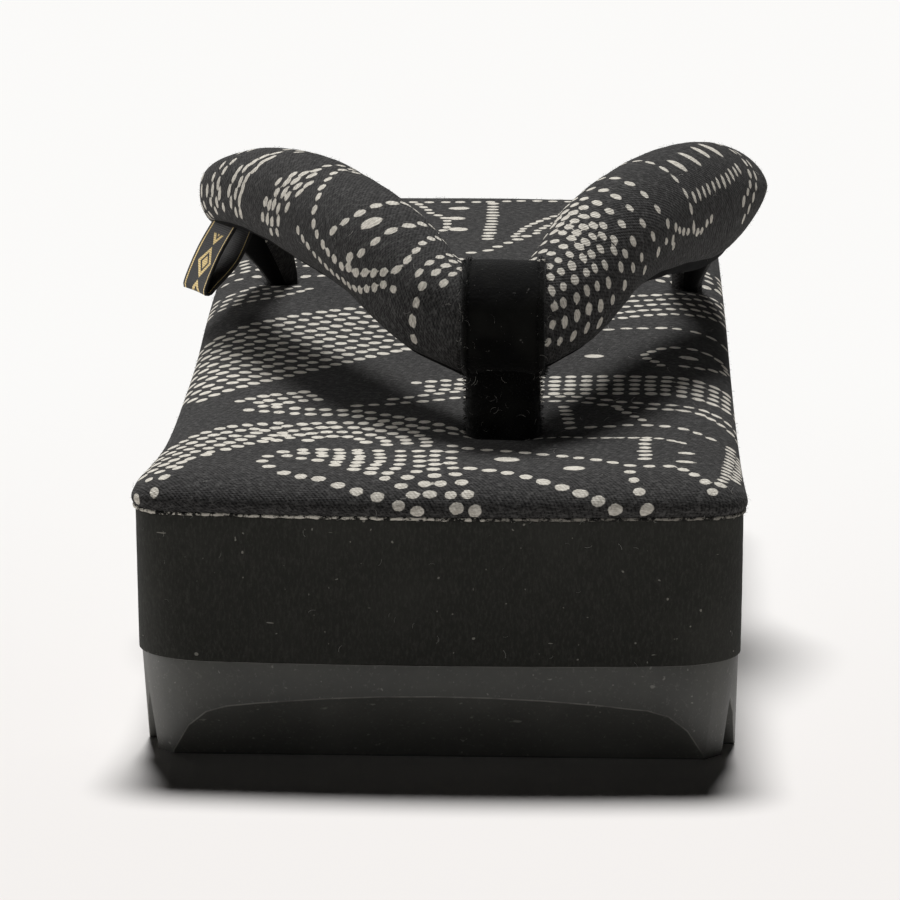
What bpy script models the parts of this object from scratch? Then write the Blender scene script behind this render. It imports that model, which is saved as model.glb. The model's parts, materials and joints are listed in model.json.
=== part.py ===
# Setta sandal, right foot: saw-tooth outsole, foam midsole, padded footbed, padded strap and toe post.
# The toe points to -Y, the lateral side to -X, the medial side to +X. Lengths are in metres.
from math import atan, cos, pi, radians, sin

import bmesh
import bpy
from mathutils import Matrix, Vector

mm = 0.001
clearance = 0.3 * mm
cutter_reach = 4 * mm
sharp_edge = radians(35)

# Sole outline: slightly bowed ends, round corners, and sides that a table shapes
sole_length = 262 * mm
ball_width = 100 * mm
toe_bow = 3.2 * mm
heel_bow = 5.0 * mm
corner_at_cloth = 6.5 * mm
corner_at_joint = 13.0 * mm
corner_at_ground = 20.0 * mm
heel_corner = 32.0 * mm
end_steps = 4
corner_steps = 6
side_steps = 10
# Each row: share of the length behind the toe, then lateral and medial shares of half the ball width
side_rows = (
    {"back": 0.000, "lateral": 1.000, "medial": 1.003},
    {"back": 0.035, "lateral": 1.000, "medial": 1.003},
    {"back": 0.060, "lateral": 0.996, "medial": 0.997},
    {"back": 0.090, "lateral": 0.976, "medial": 0.990},
    {"back": 0.140, "lateral": 0.949, "medial": 0.982},
    {"back": 0.200, "lateral": 0.937, "medial": 0.974},
    {"back": 0.300, "lateral": 0.935, "medial": 0.963},
    {"back": 0.420, "lateral": 0.938, "medial": 0.952},
    {"back": 0.570, "lateral": 0.955, "medial": 0.940},
    {"back": 0.700, "lateral": 0.963, "medial": 0.927},
    {"back": 0.850, "lateral": 0.958, "medial": 0.910},
    {"back": 1.000, "lateral": 0.940, "medial": 0.890},
)

# Outsole
outsole_thickness = 17.0 * mm
outsole_inset = 0.4 * mm
bevel_height = 11.8 * mm
bevel_length = 8.0 * mm
tooth_pitch = 12.0 * mm
tooth_depth = 9.6 * mm
tooth_slant = 8.0 * mm
heel_land = 9.0 * mm

# Midsole
midsole_toe = 24.2 * mm
midsole_heel = 36.2 * mm

# Footbed: a pad under cloth, rolled over at its rim
pad_height = 5.2 * mm
pad_overhang = 0.7 * mm
rim_height = 2.5 * mm
rim_tuck = 0.5 * mm
roll_width = 4.2 * mm
crown_width = 16.0 * mm
crown_height = 0.7 * mm
roll_steps = 5
# Share of the crown's height that is reached halfway between the roll and the crown's flat
shoulder = 0.75

# Strap: two arms from an apex between the toes to a hole near each side
post_offset = 9.6 * mm
apex_back = 46.0 * mm
apex_spread = 4.2 * mm
hole_to_heel = 90 * mm
medial_margin = 0.5 * mm
lateral_margin = 7.2 * mm
medial_bow = 6.8 * mm
lateral_bow = 5.8 * mm
medial_crest = 26.5 * mm
lateral_crest = 24.7 * mm
strap_width = 19.6 * mm
strap_thickness = 19.6 * mm
strap_squareness = 2.1
strap_sides = 20
strap_stations = 24
strap_foot = 1.2 * mm
nose_steps = 4
# Each row: share of the run from apex to hole; share of the way out to the widest place; share of the bow
# that is pulled back in to the hole; share of the crest over the footbed; shares of width and thickness
strap_rows = (
    {"back": 0.000, "out": 0.000, "pull": 0.000, "rise": 0.670, "width": 0.740, "thickness": 0.840},
    {"back": 0.070, "out": 0.165, "pull": 0.000, "rise": 0.765, "width": 0.810, "thickness": 0.900},
    {"back": 0.220, "out": 0.370, "pull": 0.000, "rise": 0.985, "width": 0.930, "thickness": 0.930},
    {"back": 0.420, "out": 0.600, "pull": 0.000, "rise": 1.020, "width": 0.990, "thickness": 0.990},
    {"back": 0.580, "out": 0.800, "pull": 0.000, "rise": 1.000, "width": 0.950, "thickness": 0.930},
    {"back": 0.700, "out": 0.945, "pull": 0.000, "rise": 0.930, "width": 0.840, "thickness": 0.770},
    {"back": 0.780, "out": 1.000, "pull": 0.060, "rise": 0.840, "width": 0.720, "thickness": 0.640},
    {"back": 0.860, "out": 1.000, "pull": 0.260, "rise": 0.640, "width": 0.620, "thickness": 0.560},
    {"back": 0.930, "out": 1.000, "pull": 0.640, "rise": 0.370, "width": 0.550, "thickness": 0.510},
    {"back": 0.975, "out": 1.000, "pull": 0.920, "rise": 0.140, "width": 0.510, "thickness": 0.480},
    {"back": 1.000, "out": 1.000, "pull": 1.000, "rise": 0.020, "width": 0.500, "thickness": 0.470},
)

# Toe post and the band round the strap's bend
post_ahead = 3.0 * mm
post_width = 12.8 * mm
post_depth = 11.0 * mm
post_waist = 0.90
post_foot = 0.6 * mm
post_rows = 7
band_width = 14.2 * mm
band_wall = 1.35 * mm
band_lap = 4.6 * mm
band_lean = radians(14)
band_edge = 0.8 * mm
band_sides = 28

# Label tab: a ribbon folded once, hung from inside the lateral arm's lower outer edge
tab_to_hole = 34 * mm
tab_width = 11.6 * mm
tab_drop = 12.0 * mm
tab_flare = 3.8 * mm
tab_opening = 3.2 * mm
tab_wall = 0.8 * mm
tab_turn = radians(-20)
tab_tuck = 2.0 * mm
tab_bow = 0.4 * mm
tab_fold = 1.0 * mm
# Where it hangs from, as shares of the arm's full width and thickness out from its centre line
tab_out = 0.30
tab_down = 0.36


def shaded(name, colour, roughness):
    material = bpy.data.materials.new(name)
    material.use_nodes = True
    shader = material.node_tree.nodes["Principled BSDF"]
    shader.inputs["Base Color"].default_value = (*colour, 1.0)
    shader.inputs["Roughness"].default_value = roughness
    shader.inputs["Metallic"].default_value = 0.0
    material.diffuse_color = (*colour, 1.0)
    return material


def mesh_object(name, shape, collection, material=None):
    bmesh.ops.recalc_face_normals(shape, faces=shape.faces)
    mesh = bpy.data.meshes.new(name)
    shape.to_mesh(mesh)
    shape.free()
    thing = bpy.data.objects.new(name, mesh)
    collection.objects.link(thing)
    if material:
        mesh.materials.append(material)
        mesh.shade_smooth()
        mesh.set_sharp_from_angle(angle=sharp_edge)
    else:
        thing.hide_render = True
        thing.display_type = "WIRE"
    return thing


def boolean(target, tool, operation):
    modifier = target.modifiers.new(tool.name, "BOOLEAN")
    modifier.operation = operation
    modifier.object = tool


def through_rows(rows, column, share):
    """A smooth curve through one column of a table whose first column is 'back'."""
    last = len(rows) - 1
    i = 0
    while i < last - 1 and share > rows[i + 1]["back"]:
        i += 1
    low, high = rows[i], rows[i + 1]
    span = high["back"] - low["back"]
    t = min(max((share - low["back"]) / span, 0.0), 1.0)

    def slope(k):
        a, b = rows[max(k - 1, 0)], rows[min(k + 1, last)]
        return (b[column] - a[column]) / (b["back"] - a["back"]) * span

    return (
        (2 * t**3 - 3 * t**2 + 1) * low[column]
        + (t**3 - 2 * t**2 + t) * slope(i)
        + (3 * t**2 - 2 * t**3) * high[column]
        + (t**3 - t**2) * slope(i + 1)
    )


def side_width(back, side):
    """Half width of the sole at this distance behind the toe, before the ends are rounded."""
    share = min(max(back / sole_length, 0.0), 1.0)
    return ball_width / 2 * through_rows(side_rows, "medial" if side > 0 else "lateral", share)


def sole_y(back):
    return back - sole_length / 2


def end_curve(side, grow, corner, bow, from_heel):
    """Half of one end, from the middle out: a bowed edge that runs into a round corner on the side."""
    radius = corner + max(grow, 0.0)

    def width_at(depth):
        return side_width(sole_length - depth if from_heel else depth, side) + grow

    width = width_at(corner)
    lean = 0.0
    for _ in range(3):
        meet = width - radius * (1 - sin(lean))
        lean = atan(2 * bow * meet / (ball_width / 2) ** 2)
    points = []
    for k in range(end_steps):
        x = meet * k / end_steps
        points.append((x, bow * (x / (ball_width / 2)) ** 2 - grow))
    centre = bow * (meet / (ball_width / 2)) ** 2 - grow + radius * cos(lean)
    for k in range(corner_steps + 1):
        turn = lean + (pi / 2 - lean) * k / corner_steps
        points.append((width - radius * (1 - sin(turn)), centre - radius * cos(turn)))
    return points


def outline(grow, toe_corner):
    """The sole's outline, moved outwards by 'grow', from the toe round the medial side and back."""
    halves = []
    for side in (1, -1):
        toe = end_curve(side, grow, toe_corner, toe_bow, False)
        heel = end_curve(side, grow, heel_corner, heel_bow, True)
        first, last = toe[-1][1], sole_length - heel[-1][1]
        half = [(x, back) for x, back in toe]
        for k in range(1, side_steps):
            back = first + (last - first) * k / side_steps
            half.append((side_width(back, side) + grow, back))
        half += [(x, sole_length - depth) for x, depth in reversed(heel)]
        halves.append([(side * x, sole_y(back)) for x, back in half])
    return halves[0] + halves[1][-2:0:-1]


def seat_height(y):
    """Top of the midsole, which rises from toe to heel."""
    share = (y + sole_length / 2) / sole_length
    return outsole_thickness + clearance + midsole_toe + (midsole_heel - midsole_toe) * share


def footbed_top(back):
    return seat_height(sole_y(back)) + clearance + pad_height


def hole_back():
    return sole_length - hole_to_heel


def join_rings(shape, rings):
    """Walls between rings with as many points each, and a flat cap at both ends."""
    shape.faces.new(rings[0])
    shape.faces.new(rings[-1])
    for low, high in zip(rings, rings[1:]):
        for k in range(len(low)):
            nxt = (k + 1) % len(low)
            shape.faces.new((low[k], low[nxt], high[nxt], high[k]))


def slab(layers):
    """A closed body through outline rings: each layer is (grow, toe corner, height as a function of y)."""
    shape = bmesh.new()
    rings = []
    for grow, corner, height in layers:
        rings.append([shape.verts.new((x, y, height(y))) for x, y in outline(grow, corner)])
    join_rings(shape, rings)
    return shape


def prism(profile, half_width):
    """A profile of (y, z) points, extruded across the shoe."""
    shape = bmesh.new()
    ends = [[shape.verts.new((side * half_width, y, z)) for y, z in profile] for side in (-1, 1)]
    shape.faces.new(ends[0])
    shape.faces.new(ends[1])
    for k in range(len(profile)):
        nxt = (k + 1) % len(profile)
        shape.faces.new((ends[0][k], ends[0][nxt], ends[1][nxt], ends[1][k]))
    return shape


def make_outsole(parts, cutters, material):
    body = slab(
        (
            (-outsole_inset, corner_at_ground, lambda y: 0.0),
            (-outsole_inset, corner_at_joint, lambda y: outsole_thickness),
        )
    )
    outsole = mesh_object("outsole", body, parts, material)
    toe = sole_y(outsole_inset)
    past = ball_width
    slope = bevel_height / bevel_length
    bevel = prism(
        (
            (toe - bevel_length, bevel_height + bevel_length * slope),
            (toe - bevel_length, -bevel_length * slope),
            (toe + bevel_length * 2, -bevel_length * slope),
        ),
        past,
    )
    boolean(outsole, mesh_object("toe_bevel_cutter", bevel, cutters), "DIFFERENCE")
    # The cutter's lowest corners lie below the floor by the same slant, so the notch's faces run straight out
    first = toe + bevel_length + (tooth_pitch - tooth_slant)
    notch = prism(
        (
            (first, tooth_depth),
            (first, -cutter_reach),
            (first + tooth_slant * (1 + cutter_reach / tooth_depth), -cutter_reach),
        ),
        past,
    )
    cutter = mesh_object("notch_cutter", notch, cutters)
    run = sole_length - 2 * outsole_inset - bevel_length - heel_land
    row = cutter.modifiers.new("row", "ARRAY")
    row.count = int(run // tooth_pitch)
    row.use_relative_offset = False
    row.use_constant_offset = True
    row.constant_offset_displace = (0.0, tooth_pitch, 0.0)
    boolean(outsole, cutter, "DIFFERENCE")
    return outsole


def make_midsole(parts, material):
    bottom = outsole_thickness + clearance
    body = slab(((0.0, corner_at_joint, lambda y: bottom), (0.0, corner_at_cloth, seat_height)))
    return mesh_object("midsole", body, parts, material)


def make_footbed(parts, cutters, material, holes):
    """Rim, rolled edge and crown: a quarter ellipse over the roll, then a slight rise to the crown."""

    def above(rise):
        return lambda y: seat_height(y) + clearance + rise

    def layer(inset, rise):
        return (pad_overhang - inset, corner_at_cloth, above(rise))

    layers = [layer(rim_tuck, 0.0), layer(0.0, rim_height)]
    roll_height = pad_height - crown_height - rim_height
    for k in range(1, roll_steps + 1):
        turn = pi / 2 * k / roll_steps
        layers.append(layer(roll_width * (1 - cos(turn)), rim_height + roll_height * sin(turn)))
    layers.append(layer((roll_width + crown_width) / 2, pad_height - (1 - shoulder) * crown_height))
    layers.append(layer(crown_width, pad_height))
    footbed = mesh_object("footbed", slab(layers), parts, material)
    for hole in holes:
        boolean(footbed, hole, "DIFFERENCE")
    return footbed


def strap_path(side):
    """Centre, width share and thickness share of each station of one arm, from the apex to the hole."""
    margin, bow, crest = lateral_margin, lateral_bow, lateral_crest
    if side > 0:
        margin, bow, crest = medial_margin, medial_bow, medial_crest
    end_width = strap_width * strap_rows[-1]["width"]
    hole = side_width(hole_back(), side) - margin - end_width / 2 - side * post_offset
    stations = []
    for k in range(strap_stations + 1):
        share = k / strap_stations
        at = {column: through_rows(strap_rows, column, share) for column in strap_rows[0] if column != "back"}
        back = apex_back + (hole_back() - apex_back) * share
        out = apex_spread + (hole + bow - apex_spread) * at["out"] - bow * at["pull"]
        x = post_offset + side * out
        centre = Vector((x, sole_y(back), footbed_top(back) + crest * at["rise"]))
        stations.append((centre, at["width"], at["thickness"]))
    centre, width, thickness = stations[-1]
    foot = Vector((centre.x, centre.y, seat_height(centre.y) + strap_foot))
    stations.append((foot, width, thickness))
    return stations


def ring(shape, centre, across, up, half_width, half_thickness):
    verts = []
    for k in range(strap_sides):
        turn = 2 * pi * k / strap_sides
        u = abs(cos(turn)) ** (2 / strap_squareness) * (1 if cos(turn) >= 0 else -1)
        v = abs(sin(turn)) ** (2 / strap_squareness) * (1 if sin(turn) >= 0 else -1)
        verts.append(shape.verts.new(centre + across * (u * half_width) + up * (v * half_thickness)))
    return verts


def make_arm(name, side, grow, collection, material=None, foot_drop=0.0):
    """One arm of the strap, lofted through oval sections, with a rounded nose at the apex."""
    stations = strap_path(side)
    centres = [centre for centre, _, _ in stations]
    last = len(centres) - 1
    shape = bmesh.new()
    rings = []
    up = Vector((0, 0, 1))
    for i, (_, width, thickness) in enumerate(stations):
        centre = centres[i]
        along = (centres[min(i + 1, last)] - centres[max(i - 1, 0)]).normalized()
        if i == last:
            along = Vector((0, 0, -1))
        up = (up - along * up.dot(along)).normalized()
        across = along.cross(up).normalized()
        half_width = strap_width / 2 * width + grow
        half_thickness = strap_thickness / 2 * thickness + grow
        if i == 0:
            for k in range(1, nose_steps + 1):
                turn = pi / 2 * k / (nose_steps + 1)
                tip = centre - along * (half_width * cos(turn))
                rings.append(ring(shape, tip, across, up, half_width * sin(turn), half_thickness * sin(turn)))
        rings.append(ring(shape, centre, across, up, half_width, half_thickness))
        if i == last and foot_drop > 0:
            rings.append(ring(shape, centre + along * foot_drop, across, up, half_width, half_thickness))
    join_rings(shape, rings)
    return mesh_object(name, shape, collection, material)


def make_upper(parts, cutters, material):
    upper = make_arm("upper", 1, 0.0, parts, material)
    boolean(upper, make_arm("lateral_arm", -1, 0.0, cutters), "UNION")
    return upper


def post_body(name, grow, bottom, top, collection, material=None):
    """The post, turned and then narrowed front to back, fullest a little below its middle."""
    shape = bmesh.new()
    rings = []
    for i in range(post_rows):
        share = i / (post_rows - 1)
        swell = post_waist + (1 - post_waist) * sin(pi * share)
        height = bottom + (top - bottom) * share
        centre = Vector((post_offset, sole_y(apex_back - post_ahead), height))
        half_width = post_width / 2 * swell + grow
        half_depth = post_depth / 2 * swell + grow
        rings.append(ring(shape, centre, Vector((1, 0, 0)), Vector((0, 1, 0)), half_width, half_depth))
    join_rings(shape, rings)
    return mesh_object(name, shape, collection, material)


def make_toe_post(parts, cutters, material, strap_cutters):
    """The velvet piece: a post, and a band round the bend of the strap with the strap's own shape inside."""
    apex = strap_rows[0]
    band_height = strap_thickness * apex["thickness"] + 2 * band_wall
    band_length = strap_width * apex["width"] + 2 * band_lap
    middle = footbed_top(apex_back) + (medial_crest + lateral_crest) / 2 * apex["rise"] + band_wall
    bottom = seat_height(sole_y(apex_back - post_ahead)) + post_foot
    post = post_body("toe_post", 0.0, bottom, middle - band_height / 4, parts, material)
    bpy.ops.mesh.primitive_cylinder_add(vertices=band_sides, radius=1.0, depth=1.0)
    band = bpy.context.object
    band.name = "band"
    turned = Matrix.Rotation(band_lean, 4, "X") @ Matrix.Rotation(pi / 2, 4, "Y")
    sized = Matrix.Diagonal((band_height / 2, band_length / 2, band_width, 1.0))
    band.data.transform(turned @ sized)
    band.location = (post_offset, sole_y(apex_back), middle)
    edge = band.modifiers.new("edge", "BEVEL")
    edge.width = band_edge
    edge.segments = 2
    edge.limit_method = "ANGLE"
    edge.angle_limit = radians(60)
    band.hide_render = True
    band.display_type = "WIRE"
    for holder in band.users_collection:
        holder.objects.unlink(band)
    cutters.objects.link(band)
    boolean(post, band, "UNION")
    for cutter in strap_cutters:
        boolean(post, cutter, "DIFFERENCE")
    return post


def make_label_tab(parts, cutters, material, strap_cutter):
    """A strip bent round its fold: outer leaf, fold and inner leaf, cut off where the strap covers it."""
    tab_y = sole_y(hole_back() - tab_to_hole)
    nearest = min((centre for centre, _, _ in strap_path(-1)), key=lambda centre: abs(centre.y - tab_y))
    top = Vector((nearest.x - strap_width * tab_out, 0, nearest.z - strap_thickness * tab_down + tab_tuck))
    fold = top + Vector((-tab_flare, 0, -tab_tuck - tab_drop))
    middle = (top + fold) / 2
    route = (
        top,
        middle - Vector((tab_bow, 0, 0)),
        fold,
        fold + Vector((tab_fold, 0, -tab_fold / 2)),
        middle + Vector((tab_opening, 0, -tab_fold)),
        top + Vector((tab_opening, 0, 0)),
    )
    shape = bmesh.new()
    turn = Matrix.Rotation(tab_turn, 4, "Z")
    rows = []
    for end in (-0.5, 0.5):
        rows.append([])
        for point in route:
            local = turn @ Vector((point.x - top.x, end * tab_width, 0))
            place = Vector((top.x + local.x, tab_y + local.y, point.z))
            rows[-1].append(shape.verts.new(place))
    for k in range(len(route) - 1):
        shape.faces.new((rows[0][k], rows[0][k + 1], rows[1][k + 1], rows[1][k]))
    tab = mesh_object("label_tab", shape, parts, material)
    wall = tab.modifiers.new("wall", "SOLIDIFY")
    wall.thickness = tab_wall
    wall.offset = 0.0
    wall.use_even_offset = True
    boolean(tab, strap_cutter, "DIFFERENCE")
    return tab


def stand_at_origin(root, parts):
    """Moves the root so that the bottom centre of all pieces' bounding box is the world's origin."""
    bpy.context.view_layer.update()
    graph = bpy.context.evaluated_depsgraph_get()
    corners = []
    for part in parts.objects:
        if part.type == "MESH":
            evaluated = part.evaluated_get(graph)
            corners += [evaluated.matrix_world @ Vector(corner) for corner in evaluated.bound_box]
    low = [min(corner[axis] for corner in corners) for axis in range(3)]
    high = [max(corner[axis] for corner in corners) for axis in range(3)]
    root.location = (-(low[0] + high[0]) / 2, -(low[1] + high[1]) / 2, -low[2])


def main():
    for thing in list(bpy.data.objects):
        bpy.data.objects.remove(thing)
    parts = bpy.data.collections.new("setta_sandal")
    cutters = bpy.data.collections.new("cutters")
    bpy.context.scene.collection.children.link(parts)
    bpy.context.scene.collection.children.link(cutters)

    rubber = shaded("rubber", (0.050, 0.050, 0.045), 0.75)
    foam = shaded("foam", (0.014, 0.014, 0.012), 0.90)
    cloth = shaded("cloth", (0.030, 0.030, 0.032), 0.95)
    strap_cloth = shaded("strap_cloth", (0.034, 0.034, 0.036), 0.92)
    velvet = shaded("velvet", (0.006, 0.006, 0.006), 1.00)
    ribbon = shaded("ribbon", (0.045, 0.040, 0.035), 0.55)

    strap_cutters = [
        make_arm("medial_arm_room", 1, clearance, cutters, foot_drop=cutter_reach),
        make_arm("lateral_arm_room", -1, clearance, cutters, foot_drop=cutter_reach),
    ]
    low = seat_height(sole_y(apex_back - post_ahead)) - cutter_reach
    post_room = post_body("post_room", clearance, low, footbed_top(apex_back) + cutter_reach, cutters)
    made = [
        make_outsole(parts, cutters, rubber),
        make_midsole(parts, foam),
        make_footbed(parts, cutters, cloth, strap_cutters + [post_room]),
        make_upper(parts, cutters, strap_cloth),
        make_toe_post(parts, cutters, velvet, strap_cutters),
        make_label_tab(parts, cutters, ribbon, strap_cutters[1]),
    ]
    root = bpy.data.objects.new("setta_root", None)
    parts.objects.link(root)
    for thing in made + list(cutters.objects):
        thing.parent = root
    stand_at_origin(root, parts)


main()
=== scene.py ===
import json
from math import atan, cos, pi, radians, sin, sqrt

import bmesh
import bpy
import numpy as np
from mathutils import Matrix, Quaternion, Vector, noise
from mathutils.kdtree import KDTree

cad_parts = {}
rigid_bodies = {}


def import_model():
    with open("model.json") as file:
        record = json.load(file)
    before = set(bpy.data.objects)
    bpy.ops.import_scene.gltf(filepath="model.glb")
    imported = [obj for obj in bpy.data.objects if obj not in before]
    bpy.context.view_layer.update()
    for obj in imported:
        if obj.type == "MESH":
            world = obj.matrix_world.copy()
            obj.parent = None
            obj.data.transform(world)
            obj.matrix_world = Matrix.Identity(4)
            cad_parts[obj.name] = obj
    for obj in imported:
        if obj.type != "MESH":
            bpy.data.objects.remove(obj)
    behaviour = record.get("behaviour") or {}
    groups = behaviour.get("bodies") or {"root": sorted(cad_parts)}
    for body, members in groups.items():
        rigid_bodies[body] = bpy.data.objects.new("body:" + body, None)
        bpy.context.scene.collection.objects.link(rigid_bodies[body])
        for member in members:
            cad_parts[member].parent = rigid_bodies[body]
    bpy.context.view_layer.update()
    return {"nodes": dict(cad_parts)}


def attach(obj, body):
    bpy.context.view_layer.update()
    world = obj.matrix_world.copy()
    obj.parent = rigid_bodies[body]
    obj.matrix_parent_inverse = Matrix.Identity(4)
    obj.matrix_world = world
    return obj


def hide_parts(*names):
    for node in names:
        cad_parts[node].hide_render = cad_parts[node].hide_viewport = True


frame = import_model()
mm = 0.001


# Charted rows: one dictionary for each.
def table(columns, *rows):
    return [dict(zip(columns.split(), row)) for row in rows]


# The sole's plan, as in the solids: x to the medial side, back measured from the toe
sole = {
    "length": 262 * mm,
    "ballWidth": 100 * mm,
    "toeBow": 3.2 * mm,
    "heelBow": 5.0 * mm,
    "clothCorner": 6.5 * mm,
    "jointCorner": 13.0 * mm,
    "heelCorner": 32.0 * mm,
    "outsoleThickness": 17.0 * mm,
    "toeFoam": 24.2 * mm,
    "heelFoam": 36.2 * mm,
    "gap": 0.3 * mm,
    "shift": -0.98 * mm,  # from the sole's own middle to the frame's
    "endSteps": 24,
    "cornerSteps": 24,
    "sideSteps": 80,
}
sideRows = table(
    "back lateral medial",
    (0.000, 1.000, 1.003),
    (0.035, 1.000, 1.003),
    (0.060, 0.996, 0.997),
    (0.090, 0.976, 0.990),
    (0.140, 0.949, 0.982),
    (0.200, 0.937, 0.974),
    (0.300, 0.935, 0.963),
    (0.420, 0.938, 0.952),
    (0.570, 0.955, 0.940),
    (0.700, 0.963, 0.927),
    (0.850, 0.958, 0.910),
    (1.000, 0.940, 0.890),
)


# A smooth curve through one column of a table whose first column is 'back'.
def throughRows(rows, column, share):
    last = len(rows) - 1
    i = 0
    while i < last - 1 and share > rows[i + 1]["back"]:
        i += 1
    low, high = rows[i], rows[i + 1]
    span = high["back"] - low["back"]
    t = min(max((share - low["back"]) / span, 0.0), 1.0)

    def slope(k):
        a, b = rows[max(k - 1, 0)], rows[min(k + 1, last)]
        return (b[column] - a[column]) / (b["back"] - a["back"]) * span

    return (
        (2 * t**3 - 3 * t**2 + 1) * low[column]
        + (t**3 - 2 * t**2 + t) * slope(i)
        + (3 * t**2 - 2 * t**3) * high[column]
        + (t**3 - t**2) * slope(i + 1)
    )


def sideWidth(back, side):
    share = min(max(back / sole["length"], 0.0), 1.0)
    return sole["ballWidth"] / 2 * throughRows(sideRows, "medial" if side > 0 else "lateral", share)


def seatHeight(back):
    rise = (sole["heelFoam"] - sole["toeFoam"]) * back / sole["length"]
    return sole["outsoleThickness"] + sole["gap"] + sole["toeFoam"] + rise


# Half of the toe's or the heel's end, from its middle to the end of its corner.
def endCurve(side, grow, corner, bow, fromHeel):
    radius = max(corner + max(grow, 0.0), 0.2 * mm)
    width = sideWidth(sole["length"] - corner if fromHeel else corner, side) + grow
    halfBall = sole["ballWidth"] / 2
    lean = 0.0
    for _ in range(3):  # the corner meets the bowed end at a tangent
        meet = width - radius * (1 - sin(lean))
        lean = atan(2 * bow * meet / halfBall**2)
    points = []
    for k in range(sole["endSteps"]):
        x = meet * k / sole["endSteps"]
        points.append((x, bow * (x / halfBall) ** 2 - grow))
    centre = bow * (meet / halfBall) ** 2 - grow + radius * cos(lean)
    for k in range(sole["cornerSteps"] + 1):
        turn = lean + (pi / 2 - lean) * k / sole["cornerSteps"]
        points.append((width - radius * (1 - sin(turn)), centre - radius * cos(turn)))
    return points


def resample(points, count):
    points = np.array(points)
    along = np.concatenate(([0], np.cumsum(np.linalg.norm(np.diff(points, axis=0), axis=1))))
    at = np.linspace(0, along[-1], count + 1)
    return np.stack([np.interp(at, along, points[:, k]) for k in range(points.shape[1])], axis=1)


# Toe, medial, heel and lateral stretches of the outline, each evenly spaced, between corner middles.
def soleSections(grow, toeCorner, across, lengthwise):
    heelCorner = max(sole["heelCorner"] + min(grow, 0.0), 2 * mm)
    toeCorner = max(toeCorner + min(grow, 0.0), 1.5 * mm)
    halves = []
    for side in (1, -1):
        toe = endCurve(side, grow, toeCorner, sole["toeBow"], False)
        heel = endCurve(side, grow, heelCorner, sole["heelBow"], True)
        first, last = toe[-1][1], sole["length"] - heel[-1][1]
        half = list(toe)
        for k in range(1, sole["sideSteps"]):
            back = first + (last - first) * k / sole["sideSteps"]
            half.append((sideWidth(back, side) + grow, back))
        half += [(x, sole["length"] - depth) for x, depth in reversed(heel)]
        halves.append([(side * x, back) for x, back in half])
    medial, lateral = halves
    toeMark = sole["endSteps"] + sole["cornerSteps"] // 2
    heelMark = len(medial) - 1 - toeMark
    return (
        resample(lateral[toeMark:0:-1] + medial[:toeMark + 1], across),
        resample(medial[toeMark:heelMark + 1], lengthwise),
        resample(medial[heelMark:] + lateral[-2:heelMark - 1:-1], across),
        resample(lateral[heelMark:toeMark - 1:-1], lengthwise),
    )


def soleRing(grow, toeCorner, across, lengthwise):
    return np.concatenate([run[:-1] for run in soleSections(grow, toeCorner, across, lengthwise)])


# From the sole's own plan to the frame's coordinates.
def toFrame(x, back, z):
    return np.stack([x + sole["shift"], back - sole["length"] / 2, z], axis=-1)


# Meshes and objects
def addObject(name, data):
    item = bpy.data.objects.new(name, data)
    bpy.context.scene.collection.objects.link(item)
    return item


# The faces of a closed mesh are turned outward.
def meshPiece(name, points, faces, *materials, smooth=True, closed=True):
    mesh = bpy.data.meshes.new(name)
    mesh.from_pydata([tuple(p) for p in points], [], [tuple(f) for f in faces])
    mesh.validate()
    if smooth:
        mesh.shade_smooth()
    for material in materials:
        mesh.materials.append(material)
    if closed:
        shape = bmesh.new()
        shape.from_mesh(mesh)
        bmesh.ops.recalc_face_normals(shape, faces=shape.faces)
        shape.to_mesh(mesh)
        shape.free()
    return addObject(name, mesh)


def ringFaces(rings, count, closed=True):
    faces = []
    for r in range(rings - 1):
        a, b = r * count, (r + 1) * count
        for k in range(count if closed else count - 1):
            after = (k + 1) % count
            faces.append((a + k, a + after, b + after, b + k))
    return faces


# Rings joined to a tube, with a face over each end.
def tubeFaces(rings, count, startReversed=True):
    start = range(count - 1, -1, -1) if startReversed else range(count)
    return ringFaces(rings, count) + [tuple(start), tuple(range((rings - 1) * count, rings * count))]


# The result of a piece's modifiers becomes its plain mesh.
def applyModifiers(piece):
    evaluated = piece.evaluated_get(bpy.context.evaluated_depsgraph_get())
    result = bpy.data.meshes.new_from_object(evaluated)
    piece.modifiers.clear()
    piece.data = result
    return result


# A UV map from one flat point, in metres, for each vertex.
def setFlatMap(mesh, name, flat):
    layer = mesh.uv_layers.new(name=name)
    corner = np.zeros(len(mesh.loops), np.int32)
    mesh.loops.foreach_get("vertex_index", corner)
    layer.data.foreach_set("uv", np.asarray(flat, np.float32)[corner].ravel())


def finishPiece(piece, slot, *nodes):
    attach(piece, "root")
    if nodes:
        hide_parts(*nodes)
    return piece


# Dotted print: rows, fans and ladders of small grains, charted in mm on the flat cloth
grain = {
    "apart": 1.7,  # a grain nearer than this to an earlier one is left out
    "stray": 0.09,
    "turnStray": 0.10,
    "sizes": (0.88, 1.10),
    "reach": 3.0,  # the field's value away from all grains
    "search": 4.5,
}


def smoothPath(points, step=0.25):
    points = np.array(points, float)
    padded = np.vstack([2 * points[0] - points[1], points, 2 * points[-1] - points[-2]])
    out = []
    for i in range(1, len(padded) - 2):
        a, b, c, d = padded[i - 1:i + 3]
        count = max(int(np.linalg.norm(c - b) / step), 2)
        for t in np.linspace(0, 1, count, endpoint=False):
            bend = (2 * a - 5 * b + 4 * c - d) * t**2 + (3 * b - a - 3 * c + d) * t**3
            out.append(0.5 * (2 * b + (c - a) * t + bend))
    out.append(points[-1])
    return np.array(out)


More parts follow.
